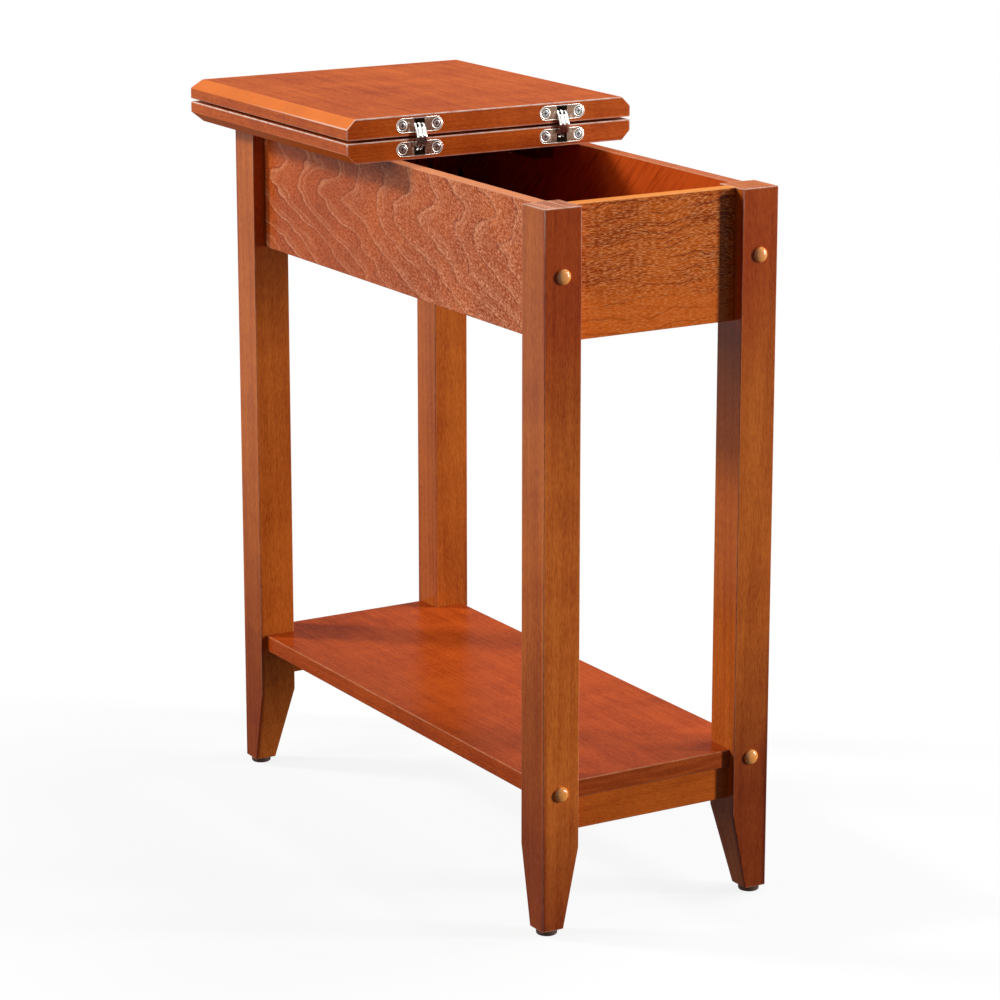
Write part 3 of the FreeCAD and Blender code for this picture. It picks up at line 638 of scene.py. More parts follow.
@dataclass(frozen=True, kw_only=True)
class FiguredVeneer(Veneer):
    """Wild-grained veneer of the side panels, with contour lines that zigzag over the panel."""

    shaded_lip: Color
    inner: float
    inner_tint: Color = (1.0, 0.76, 0.60)
    spacing: float = 0.046
    lacquer: Lacquer = Lacquer(rough=0.55, coat_rough=0.24)

    def phase(self, graph: Graph, level: Signal) -> tuple[Signal, Signal]:
        """Phase of the contours.

        It is the length along the panel, less a sweep that bulges near the top and runs forward towards the
        bottom, plus noise that makes it zigzag.

        Args:
            graph: Nodes of the material.
            level: Height from 0 at the bottom of the panel to 1 at its top.

        Returns:
            The phase, and the quick noise in it.
        """
        x, y, z = graph.parts
        below = graph.math("MAXIMUM", 0.60 - level, 0.0)
        bulge = (level - 0.83) / 0.13
        sweep = below ** 1.2 * 0.25 + 0.016 / (1.0 + bulge * bulge)
        slow = graph.join(x, y * 3.0, z * 1.6).noise(11, 2) - 0.5
        quick = graph.point.drawn(Axis.X, 0.45).noise(46, 2) - 0.5
        return (x - sweep + slow * 0.085 + quick * 0.05) / self.spacing, quick

    def material(self) -> Material:
        """The material.

        Each whole phase has a soft dark line with a pale band in front of it, broken into fine flecks that
        thicken towards the front; the pale specks are painted glints of the open grain. The inner face
        shows slanting streaks instead.

        Returns:
            The new material.
        """
        material, graph = new_graph(self.name)
        x, y, z = graph.parts
        level = (z - self.low) / self.height
        phase, quick = self.phase(graph, level)
        side = graph.math("FRACT", phase) - 0.5
        twin = graph.math("FRACT", phase + 0.74) - 0.5
        thin = graph.math("FRACT", phase * 6.0 + quick * 2.0)
        strong = graph.point.drawn(Axis.Z, 2.0).noise(24, 2).rise(0.30, 0.62)
        slanting = graph.join((x * 0.87 - z * 0.5) * 0.28, y, x * 0.5 + z * 0.87)
        grit = slanting.noise(1200, 1)
        # Pale specks: painted glints of the open grain.
        speck = grit.rise(0.51, 0.62)
        pore = 1.0 - grit.rise(0.35, 0.46)
        crest = side.hump(-0.03, 0.02, 0.02, 0.22)
        second = twin.hump(-0.03, 0.03, 0.03, 0.20)
        trough = side.hump(-0.10, -0.03, -0.03, 0.01)
        tail = side.hump(0.0, 0.05, 0.08, 0.42)
        hair = thin.hump(0.3, 0.7, 0.75, 1.0) * (1.0 - level.rise(0.25, 0.75))
        streak = graph.join((x + z) * 0.06, y, x - z).noise(420, 3, 0.6)
        cloud = graph.point.noise(15, 3)
        outside = abs(y).rise(self.inner, self.inner + 0.0006)
        forward = x.rise(-0.16, 0.20)
        figure = trough * (0.25 + strong * 0.40 + forward * 0.65) + pore * 0.80 + hair * 0.25
        tone = 0.38 - 0.20 * forward + (cloud - 0.5) * 1.7
        tone = tone + figure * outside + (streak - 0.5) * 2.4 * (1.0 - outside)
        color = graph.blend(self.light, self.deep, tone)
        front = 0.14 + 0.50 * forward + tail * (0.10 + 0.40 * forward)
        lines = graph.math("MAXIMUM", crest, second * 0.7 * strong) * (0.40 + strong * 0.32)
        lines = lines * (0.45 + speck * 0.55)
        # Pale crest lines of the figure, and pale specks painted as glints, thickest towards the front.
        shine = graph.math("MAXIMUM", lines, speck * front) * outside
        color = graph.blend(color, self.fleck_and_glint, shine)
        plain = graph.blend(color, self.inner_tint, 1.0, "MULTIPLY")
        color = graph.blend(plain, color, outside)
        # Painted shade: the right panel's lip takes the shaded copy of the lip colour.
        lip = graph.blend(self.lip, self.shaded_lip, y.rise(-0.05, 0.05))
        color = self.edged(graph, color, lip, 0.55 + cloud * 0.5, 0.5)
        rough = self.lacquer.rough + shine * 0.1
        self.lacquer.surface(graph, color, rough, shine * 0.4 - trough * 0.2 - pore * 0.4, 0.06)
        return material


@dataclass(frozen=True, kw_only=True)
class StreakedVeneer(Veneer):
    """Straight-grained veneer of the end panels, with dark streaks and pale flecks along Y."""

    bottom_red: Color = (0.80, 0.150, 0.010)
    vein_spacing: float = 0.0115
    lacquer: Lacquer = Lacquer(coat=0.3, coat_rough=0.22)

    def material(self) -> Material:
        """The material.

        Streaks and lines are noise drawn out along Y and bent by slow noise, and thin veins repeat up the
        bent height. The colour is browner at the top and redder at the bottom of the panel, darker towards
        its upper left, and short pale flecks lie along the grain as painted glints.

        Returns:
            The new material.
        """
        material, graph = new_graph(self.name)
        x, y, z = graph.parts
        bend = (graph.join(x, y * 0.55, z * 0.4).noise(20, 2) - 0.5) * 0.030
        height = z + bend
        streak = graph.join(x * 0.1, y * 0.07, height).noise(240, 4, 0.65)
        line = graph.join(x * 0.1, y * 0.024, height).noise(560, 1).rise(0.53, 0.64)
        dash = graph.join(x, y * 0.19, height).noise(1250, 1)
        # Pale flecks along the grain: painted glints of the open grain.
        fleck_and_glint = dash.rise(0.52, 0.63)
        pore = 1.0 - dash.rise(0.34, 0.46)
        cloud = graph.point.drawn(Axis.Y, 0.7).noise(16, 3, 0.6)
        level = (z - self.low) / self.height
        ring = graph.math("FRACT", (height + bend * 0.6 + cloud * 0.02) / self.vein_spacing)
        vein = ring.hump(0.83, 0.94, 0.94, 1.0)
        vein = vein * graph.join(x, y * 0.6, height).noise(40, 2).rise(0.38, 0.56)
        tone = 0.04 + (streak - 0.5) * 1.1 + (cloud - 0.5) * 1.8 + line * 0.40 + pore * 0.50 + vein
        # Darker towards the upper left of the panel.
        tone = tone + 0.35 * (1.0 - y.rise(-0.085, 0.01)) * level.rise(0.15, 0.5)
        color = graph.blend(self.light, self.deep, tone)
        raised = level.rise(0.05, 0.5)
        color = graph.blend(color, self.bottom_red, (1.0 - raised) * 0.45)
        dense = (0.34 + 0.36 * raised) * (0.5 + cloud * 0.6)
        color = graph.blend(color, self.fleck_and_glint, fleck_and_glint * dense * (1.0 - vein * 0.7))
        color = self.edged(graph, color, self.lip, 0.55 + cloud * 0.6, 0.4)
        rough = self.lacquer.rough + fleck_and_glint * 0.1
        self.lacquer.surface(graph, color, rough, fleck_and_glint * 0.5 - line - pore * 0.4, 0.14)
        return material


@dataclass(frozen=True)
class PlatedMetal:
    """Bright plate with fine polishing marks and a little tarnish."""

    name: str
    color: Color
    tarnish: Color
    rough: float
    marks: Axis = Axis.Y

    def material(self) -> Material:
        """The material: marks are noise drawn out along one axis, tarnish lies in soft clouds.

        Returns:
            The new material.
        """
        material, graph = new_graph(self.name)
        marks = graph.point.drawn(self.marks, 0.04).noise(2400, 3, 0.6)
        cloud = graph.point.noise(260, 3)
        color = graph.blend(self.color, self.tarnish, cloud.rise(0.45, 0.75) * 0.6)
        rough = self.rough + (marks - 0.5) * 0.16 + (cloud - 0.5) * 0.1
        normal = graph.bump(marks, 0.06, 0.0002)
        graph.surface({"Base Color": color, "Roughness": rough, "Metallic": 1.0, "Normal": normal})
        return material


@dataclass(frozen=True)
class HingeLayout:
    """Places of the face plates and their screws on the hinge edges."""

    hinge_y: float = 0.072
    screw_y: float = 0.017
    heights: tuple[float, float] = (0.626, 0.6465)
    plate_half: float = 0.0165
    plate_radius: float = 0.0065
    slot_half: float = 0.0066

    def reach(self, graph: Graph) -> tuple[Signal, Signal, Signal]:
        """Measures on the nearest face plate.

        Args:
            graph: Nodes of the material.

        Returns:
            Depth below the face, distance from the middle line of the plate, and distance from the nearest
            screw axis.
        """
        x, y, z = graph.parts
        aside = abs(abs(y) - self.hinge_y)
        level = graph.math("MINIMUM", abs(z - self.heights[0]), abs(z - self.heights[1]))
        past = graph.math("MAXIMUM", aside - self.plate_half, 0.0)
        beside = aside - self.screw_y
        rim = (past * past + level * level) ** 0.5
        screw = (beside * beside + level * level) ** 0.5
        return HINGE_EDGE_X - x, rim, screw


@dataclass(frozen=True)
class StampedNickel:
    """Nickel plate of the hinges, bright on rims with painted highlights and scuffed patches, and dark in
    the grooves and hollows with painted shade.
    """

    name: str
    flat: Color
    bright: Color
    rough: float
    sunk: tuple[float, float]
    dark: Color = (0.24, 0.155, 0.10)
    groove_color: Color = (0.06, 0.045, 0.036)
    layout: HingeLayout = HingeLayout()

    def material(self) -> Material:
        """The material: painted highlights make rims and collars bright, and painted shade makes screw
        grooves and what lies deep dark.

        Returns:
            The new material.
        """
        material, graph = new_graph(self.name)
        depth, rim, screw = self.layout.reach(graph)
        collar = screw.hump(0.0039, 0.0042, 0.0046, 0.0050)
        groove = screw.hump(0.0028, 0.0032, 0.0036, 0.0040)
        marks = graph.point.drawn(Axis.Y, 0.04).noise(2400, 3, 0.6)
        cloud = graph.point.noise(300, 3)
        # Painted highlights on the rims and collars, with scuffed bright patches.
        highlit_and_worn = graph.math("MAXIMUM", rim.rise(0.0056, 0.0060), collar)
        highlit_and_worn = graph.math("MAXIMUM", highlit_and_worn, cloud.rise(0.55, 0.8) * 0.6)
        hollow = depth.rise(*self.sunk)
        color = graph.blend(self.flat, self.bright, highlit_and_worn)
        # Painted shade in the screw grooves and in the hollows.
        color = graph.blend(color, self.groove_color, groove * 0.9)
        color = graph.blend(color, self.dark, hollow * 0.9)
        rough = self.rough + (marks - 0.5) * 0.16 + (cloud - 0.5) * 0.1
        normal = graph.bump(highlit_and_worn * 0.6 - groove + marks * 0.05, 0.35, 0.0003)
        metallic = 1.0 - hollow * 0.8
        graph.surface({"Base Color": color, "Roughness": rough, "Metallic": metallic, "Normal": normal})
        return material


@dataclass(frozen=True)
class MouldedPlastic:
    """Dull moulded plastic with a fine pebbled skin and dust."""

    name: str
    color: Color
    dusty: Color

    def material(self) -> Material:
        """The material: pebbles from fine noise, dust in soft clouds.

        Returns:
            The new material.
        """
        material, graph = new_graph(self.name)
        dust = graph.point.noise(120, 3).rise(0.45, 0.8)
        color = graph.blend(self.color, self.dusty, dust * 0.5)
        normal = graph.bump(graph.point.noise(1500, 2), 0.2, 0.0002)
        graph.surface({"Base Color": color, "Roughness": 0.5 + dust * 0.2, "Normal": normal})
        return material


@dataclass(frozen=True)
class Skin:
    """Closed surfaces worked out as arrays: points and faces of one piece."""

    points: np.ndarray
    quads: np.ndarray
    caps: np.ndarray

    @classmethod
    def carried(cls, rings: np.ndarray, closed: bool = False) -> Skin:
        """An outline carried along a path.

        Args:
            rings: Outlines along the path, as stations by corners by 3, anticlockwise seen against the path.
            closed: Whether the path runs back to its start. If not, the ends are flat.

        Returns:
            A skin whose faces join each outline to the next.
        """
        stations, corners = rings.shape[:2]
        index = np.arange(stations * corners).reshape(stations, corners)
        path = np.vstack([index, index[:1]]) if closed else index
        after = np.roll(path, -1, axis=1)
        quads = np.stack([path[:-1], after[:-1], after[1:], path[1:]], axis=-1).reshape(-1, 4)
        caps = np.zeros((0, corners), int) if closed else np.stack([index[0, ::-1], index[-1]])
        return cls(rings.reshape(-1, 3), quads, caps)

    @classmethod
    def turned(cls, radii: np.ndarray, heights: np.ndarray, base: Point, axis: Point) -> Skin:
        """A profile carried round an axis: a circle at each height along it.

        Args:
            radii: Radius at each station.
            heights: Distance of each station along the axis.
            base: Point at which the heights start.
            axis: Unit direction of the axis.

        Returns:
            The turned skin.
        """
        along = np.array(axis, float)
        first = np.cross(along, [0.0, 0.0, 1.0] if abs(along[2]) < 0.5 else [1.0, 0.0, 0.0])
        second = np.cross(along, first)
        turn = np.linspace(0.0, 2 * np.pi, CIRCLE_STEPS, endpoint=False)
        circle = np.cos(turn)[:, None] * first + np.sin(turn)[:, None] * second
        rings = np.array(base) + heights[:, None, None] * along + radii[:, None, None] * circle
        return cls.carried(rings)

    @staticmethod
    def together(skins: Sequence[Skin]) -> Skin:
        """Several skins as one.

        Args:
            skins: Skins with the same number of cap corners.

        Returns:
            The joined skin.
        """
        starts = np.cumsum([0] + [len(skin.points) for skin in skins[:-1]])
        return Skin(
            np.concatenate([skin.points for skin in skins]),
            np.concatenate([skin.quads + start for skin, start in zip(skins, starts)]),
            np.concatenate([skin.caps + start for skin, start in zip(skins, starts)]),
        )

    def piece(self, name: str, material: Material) -> bpy.types.Object:
        """A smooth-shaded object at the origin with this skin.

        Args:
            name: Name of the object and its mesh.
            material: Its finish.

        Returns:
            The object.
        """
        mesh = bpy.data.meshes.new(name)
        mesh.from_pydata(self.points, [], [*self.quads.tolist(), *self.caps.tolist()])
        mesh.polygons.foreach_set("use_smooth", np.ones(len(mesh.polygons), bool))
        mesh.set_sharp_from_angle(angle=SHARP_ANGLE)
        mesh.materials.append(material)
        return added(name, mesh)


def stands_for(piece: bpy.types.Object, node: str) -> None:
    """Lets a new piece ride on the frame in place of a CAD node.

    Args:
        piece: The new piece.
        node: CAD node that it stands for.
    """
    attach(piece, "frame")
    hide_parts(node)
    LOG.info("piece %s stands for %s", piece.name, node)


def rectangle(low: np.ndarray, high: np.ndarray, z: float) -> np.ndarray:
    """Corners of a level rectangle, anticlockwise from above."""
    return np.array([[low[0], low[1], z], [high[0], low[1], z], [high[0], high[1], z], [low[0], high[1], z]])


def carve(node: str, rings: Sequence[np.ndarray], material: Material, edge: float) -> None:
    """Builds a wooden piece with eased edges in place of a CAD node.

    Args:
        node: CAD node that the piece stands for.
        rings: Level outlines of the piece, from below.
        material: Finish of the piece.
        edge: Width of the eased edges.
    """
    piece = Skin.carried(np.stack(rings)).piece(node + "_wood", material)
    bevel = piece.modifiers.new("eased_edges", "BEVEL")
    bevel.width = edge
    bevel.segments = 3
    bevel.limit_method = "ANGLE"
    bevel.angle_limit = EASED_ANGLE
    bevel.harden_normals = True
    stands_for(piece, node)


def board(node: str, material: Material, edge: float) -> None:
    """Carves a plain board in the box of its CAD node."""
    low, high = corners(node)
    carve(node, [rectangle(low, high, z) for z in (low[2], high[2])], material, edge)


def dress(nodes: Sequence[str], material: Material) -> None:
    """Gives CAD nodes that stay shown a finish.

    Args:
        nodes: Names of the nodes.
        material: Their finish.
    """
    for name in nodes:
        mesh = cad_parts[name].data
        mesh.materials.clear()
        mesh.materials.append(material)
        LOG.info("node %s wears %s", name, material.name)


@dataclass
class LegFrame:
    """Four tapered legs with glides and domed plugs."""

    wood: SolidWood
    plug: SolidWood
    plastic: MouldedPlastic
    foot: float = 0.0205
    taper_height: float = 0.075
    edge: float = 0.0007
    button_radius: float = 0.0065
    button_rim: float = 0.0006
    button_crown: float = 0.004
    button_power: float = 2.3
    button_tip: float = 0.0003
    button_steps: int = 14
    button_heights: tuple[float, float] = (0.561, 0.1245)
    glide_radius: float = 0.009
    glide_rim: float = 0.0015
    glide_hub: float = 0.0005
    glide_steps: int = 7
    glide_height: float = 0.005

    def leg(self, node: str, material: Material) -> None:
        """Square outline carried up: it grows from the foot to the taper height on its two inner sides.

        Args:
            node: CAD node of the leg.
            material: Its finish.
        """
        low, high = corners(node)
        front, right = low[0] > CENTER_X, low[1] > 0
        foot_low = np.where([front, right], high[:2] - self.foot, low[:2])
        foot_high = np.where([front, right], high[:2], low[:2] + self.foot)
        rings = [rectangle(foot_low, foot_high, low[2])]
        rings += [rectangle(low, high, z) for z in (self.taper_height, high[2])]
        carve(node, rings, material, self.edge)

    def buttons(self) -> None:
        """Domes whose height falls with a power of the radius, over a short upright rim."""
        swing = np.linspace(0.0, 0.5 * np.pi, self.button_steps)[:-1]
        radii = self.button_radius * np.cos(swing) ** (2 / self.button_power)
        rise = self.button_rim + (self.button_crown - self.button_rim) * np.sin(swing)
        radii = np.concatenate([[self.button_radius], radii, [self.button_tip]])
        rise = np.concatenate([[0.0], rise, [self.button_crown]])
        skins = []
        for end, sign in zip(ENDS, (1.0, -1.0)):
            for hand in HANDS:
                low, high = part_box(f"{end}_{hand}_leg")
                face = high[0] if sign > 0 else low[0]
                middle = (low[1] + high[1]) / 2
                for z in self.button_heights:
                    skins.append(Skin.turned(radii, rise, (face, middle, z), (sign, 0.0, 0.0)))
        domes = Skin.together(skins).piece("cover_button_domes", self.plug.material())
        stands_for(domes, "cover_buttons")

    def glides(self) -> None:
        """Flat discs with a rounded rim: a quarter circle between the foot face and the side."""
        swing = np.linspace(0.0, 0.5 * np.pi, self.glide_steps)
        radii = self.glide_radius - self.glide_rim + self.glide_rim * np.sin(swing)
        rise = self.glide_rim - self.glide_rim * np.cos(swing)
        radii = np.concatenate([[self.glide_hub], radii, [self.glide_radius]])
        rise = np.concatenate([[0.0], rise, [self.glide_height]])
        inset = self.foot / 2
        skins = []
        for front in (1, -1):
            for right in (1, -1):
                base = (CENTER_X + front * (LEG_END - inset), right * (LEG_SIDE - inset), 0.0)
                skins.append(Skin.turned(radii, rise, base, (0.0, 0.0, 1.0)))
        discs = Skin.together(skins).piece("leg_glide_discs", self.plastic.material())
        stands_for(discs, "leg_glides")

    def build(self) -> None:
        """Builds and dresses the legs, plugs and glides."""
        finish = self.wood.material()
        for end in ENDS:
            for hand in HANDS:
                self.leg(f"{end}_{hand}_leg", finish)
        self.buttons()
        self.glides()


@dataclass
class StorageBox:
    """Panels, floor and battens of the box under the top."""

    side: FiguredVeneer
    end: StreakedVeneer
    floor: SolidWood
    batten: SolidWood
    edge: float = 0.0008

    def build(self) -> None:
        """Builds the panels and dresses the hidden pieces."""
        side_finish, end_finish = self.side.material(), self.end.material()
        for hand in HANDS:
            board(f"{hand}_side_panel", side_finish, self.edge)
        for place in ENDS:
            board(f"{place}_end_panel", end_finish, self.edge)
        dress(["tray_panel"], self.floor.material())
        dress([f"{hand}_top_cleat" for hand in HANDS], self.batten.material())


@dataclass
class LowShelf:
    """Notched shelf on two rails."""

    wood: SolidWood
    rail: SolidWood
    notch: float = 0.029
    edge: float = 0.0008

    def outline(self, low: np.ndarray, high: np.ndarray, z: float) -> np.ndarray:
        """Rectangle with its four corners cut out round the legs, anticlockwise from above.

        Args:
            low: Lowest corner of the shelf.
            high: Its highest corner.
            z: Height of the outline.

        Returns:
            Twelve corners by 3.
        """
        x = np.array([low[0], low[0] + self.notch, high[0] - self.notch, high[0]])
        y = np.array([low[1], low[1] + self.notch, high[1] - self.notch, high[1]])
        across = x[[1, 2, 2, 3, 3, 2, 2, 1, 1, 0, 0, 1]]
        along = y[[0, 0, 1, 1, 2, 2, 3, 3, 2, 2, 1, 1]]
        return np.stack([across, along, np.full(12, z)], axis=-1)

    def build(self) -> None:
        """Builds and dresses the shelf and its rails."""
        low, high = corners("shelf")
        rings = [self.outline(low, high, z) for z in (low[2], high[2])]
        carve("shelf", rings, self.wood.material(), self.edge)
        finish = self.rail.material()
        for end in ENDS:
            board(f"{end}_shelf_rail", finish, self.edge)


@dataclass
class FoldingTop:
    """The fixed leaf, the flip leaf folded on it, and their concealed hinges."""

    fixed: SolidWood
    flip: SolidWood
    plate: StampedNickel
    link: PlatedMetal
    pin: PlatedMetal
    screw: StampedNickel
    layout: HingeLayout = HingeLayout()
    bead_width: float = 0.0008
    bead_height: float = 0.0003
    bead_foot: float = 0.9
    bead_sink: float = 2e-4
    bead_steps: int = 7
    collar_radius: float = 0.0044
    collar_width: float = 0.0006
    collar_height: float = 0.0002
    rim_steps: int = 25
    collar_steps: int = 40

    def bead(self, path: np.ndarray, outward: np.ndarray, width: float, height: float) -> np.ndarray:
        """Outlines of a half-round bead along a path on the hinge edge.

        Each outline is half an ellipse of that width and height over the face, closed a little below it.

        Args:
            path: Points of the middle of the bead, as stations by 3.
            outward: Unit direction across the bead at each station, in the face.
            width: Width of the bead.
            height: How far it stands over the face.

        Returns:
            Outlines as stations by corners by 3.
        """
        swing = np.linspace(0.0, np.pi, self.bead_steps)
        across = np.concatenate([np.cos(swing), [-self.bead_foot, self.bead_foot]]) * width / 2
        rise = np.concatenate([np.sin(swing) * height, [-self.bead_sink, -self.bead_sink]])
        up = np.array([1.0, 0.0, 0.0])
        return path[:, None] + across[None, :, None] * outward[:, None] + rise[None, :, None] * up

    def plate_trim(self, z: float) -> Skin:
        """Stamped rims of both face plates at a height, and collars round their screws.

        A rim runs straight from the slot to the round end, half a turn about it, and straight back.

        Args:
            z: Height of the middle of the plates.

        Returns:
            Rims and collars as one skin.
        """
        layout = self.layout
        spread = layout.plate_radius - self.bead_width / 2
        half_turn = np.linspace(0.5 * np.pi, -0.5 * np.pi, self.rim_steps)
        swing = np.concatenate([half_turn[:1], half_turn, half_turn[-1:]])
        run = np.full(len(swing), layout.plate_half)
        run[[0, -1]] = layout.slot_half
        turn = np.linspace(0.0, 2 * np.pi, self.collar_steps, endpoint=False)
        around = np.stack([0 * turn, np.cos(turn), -np.sin(turn)], axis=-1)
        skins = []
        for hinge in (-layout.hinge_y, layout.hinge_y):
            for side in (-1.0, 1.0):
                outward = np.stack([0 * swing, side * np.cos(swing), side * np.sin(swing)], axis=-1)
                path = np.array([HINGE_EDGE_X, hinge, z]) + spread * outward
                path[:, 1] += side * run
                skins.append(Skin.carried(self.bead(path, outward, self.bead_width, self.bead_height)))
                screw = np.array([HINGE_EDGE_X, hinge + side * layout.screw_y, z])
                collar = screw + self.collar_radius * around
                collar = self.bead(collar, around, self.collar_width, self.collar_height)
                skins.append(Skin.carried(collar, closed=True))
        return Skin.together(skins)

    def build(self) -> None:
        """Dresses leaves, cups, links, pins and screws, and adds the stamped trim of the face plates."""
        dress(["fixed_leaf"], self.fixed.material())
        dress(["flip_leaf"], self.flip.material())
        half = ("fixed", "flip")
        nickel = self.plate.material()
        dress([f"{hand}_hinge_{part}_cup" for hand in HANDS for part in half], nickel)
        for name, body, z in zip(half, ("frame", "flip_leaf"), self.layout.heights):
            trim = self.plate_trim(z).piece(f"{name}_plate_trim", nickel)
            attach(trim, body)
            LOG.info("piece %s rides on %s", trim.name, body)
        dress([f"{hand}_hinge_{part}_links" for hand in HANDS for part in half], self.link.material())
        pins = ("fixed_pivot", "flip_pivot", "center_pin", "fixed_slider", "flip_slider")
        dress([f"{hand}_hinge_{part}" for hand in HANDS for part in pins], self.pin.material())
        dress([f"hinge_screws_{part}" for part in half], self.screw.material())


@dataclass(frozen=True)
class Lamp:
    """A rectangular soft lamp at a place, aimed at a point."""

    name: str
    place: Point
    target: Point
    size: tuple[float, float]
    watts: float

    def add(self) -> None:
        """Adds the lamp, which the camera does not see."""
        data = bpy.data.lights.new(self.name, "AREA")
        data.shape = "RECTANGLE"
        data.size, data.size_y = self.size
        data.energy = self.watts
        lamp = added(self.name, data)
        lamp.visible_camera = False
        aim(lamp, Vector(self.place), Vector(self.target) - Vector(self.place))


@dataclass
class Studio:
    """Camera at the photograph's angle, soft lamps, and a pale floor."""

    azimuth: float = 59.22
    pitch: float = 14.54
    distance: float = 3.1824
    lens: float = 127.92
    sensor: float = 36.0
    clip: tuple[float, float] = (0.05, 60.0)
    target: Point = (CENTER_X, 0.00823, 0.30236)
    ambient: float = 0.05
    floor_radius: float = 14.0
    floor_corners: int = 96
    floor_drop: float = 0.0002
    paper: tuple[Color, Color] = ((0.86, 0.86, 0.86), (0.90, 0.90, 0.90))
    paper_bounce: Color = (0.13, 0.13, 0.13)
    lamps: tuple[Lamp, ...] = (
        Lamp("right_strip", (2.48, 3.30, 0.93), (0.27, 0.1, 0.45), (0.45, 2.56), 198.0),
        Lamp("left_key", (-3.3, -3.7, 3.2), (0.0, -0.1, 0.5), (0.8, 0.8), 232.0),
        Lamp("left_fill", (-0.75, -2.6, 1.3), (0.0, 0.0, 0.4), (0.9, 1.2), 24.5),
        Lamp("overhead", (0.18, 1.04, 2.39), (0.0, 0.0, 0.5), (0.8, 0.8), 33.0),
    )

    def camera(self) -> None:
        """Camera on the line that leaves the target at the azimuth and pitch."""
        turn, rise = math.radians(self.azimuth), math.radians(self.pitch)
        back = Vector((math.sin(turn) * math.cos(rise), -math.cos(turn) * math.cos(rise), math.sin(rise)))
        data = bpy.data.cameras.new("camera")
        data.lens, data.sensor_width = self.lens, self.sensor
        data.clip_start, data.clip_end = self.clip
        bpy.context.scene.camera = added("camera", data)
        aim(bpy.context.scene.camera, Vector(self.target) + back * self.distance, -back)

    def rays(self, graph: Graph) -> tuple[Signal, Signal]:
        """Masks of the kinds of ray.

        Args:
            graph: Nodes of the floor or the world.

        Returns:
            1 for rays straight from the camera, and 1 for rays from a mirror or glass.
        """
        kinds = ("Camera", "Glossy", "Transmission")
        camera, glossy, clear = (graph.add("ShaderNodeLightPath", out=f"Is {kind} Ray") for kind in kinds)
        return camera, graph.math("MAXIMUM", glossy, clear)

    def surroundings(self) -> None:
        """A white world that lights the object only at the ambient level."""
        world = bpy.data.worlds.new("studio")
        world.use_nodes = True
        bpy.context.scene.world = world
        graph = Graph(world.node_tree)
        strength = self.ambient + (1.0 - self.ambient) * graph.math("MAXIMUM", *self.rays(graph))
        light = graph.add("ShaderNodeBackground", sockets={"Color": (1.0, 1.0, 1.0), "Strength": strength})
        graph.add("ShaderNodeOutputWorld", sockets={"Surface": light})

    def floor(self) -> None:
        """A round pale floor that keeps the shadow near the table and turns white away from it.

        The camera sees it almost white, mirrors see it darker near the table, and little light bounces off.
        """
        turn = np.linspace(0.0, 2 * np.pi, self.floor_corners, endpoint=False)
        rim = np.stack([np.cos(turn), np.sin(turn), 0 * turn], axis=-1) * self.floor_radius
        rim[:, 2] = -self.floor_drop
        mesh = bpy.data.meshes.new("floor")
        mesh.from_pydata(rim, [], [list(range(self.floor_corners))])
        material, graph = new_graph("floor_paper")
        x, y, _ = graph.parts
        away = (x * x + y * y) ** 0.5
        camera, mirrored = self.rays(graph)
        share = camera * (0.86 + away.rise(0.25, 1.1) * 0.14)
        share = share + mirrored * (0.25 + away.rise(0.4, 2.4) * 0.75)
        paper = graph.blend(*self.paper, graph.point.noise(90, 2))
        paper = graph.blend(self.paper_bounce, paper, camera)
        matt = graph.add("ShaderNodeBsdfDiffuse", sockets={"Color": paper})
        white = graph.add("ShaderNodeEmission", sockets={"Color": (1.0, 1.0, 1.0), "Strength": 1.0})
        mixed = graph.add("ShaderNodeMixShader", sockets={0: share, 1: matt, 2: white})
        graph.add("ShaderNodeOutputMaterial", sockets={"Surface": mixed})
        mesh.materials.append(material)
        added("floor", mesh)

    def build(self) -> None:
        """Sets up camera, world, floor and lamps."""
        self.camera()
        self.surroundings()
        self.floor()
        for lamp in self.lamps:
            lamp.add()
        bpy.context.scene.view_settings.view_transform = "Standard"


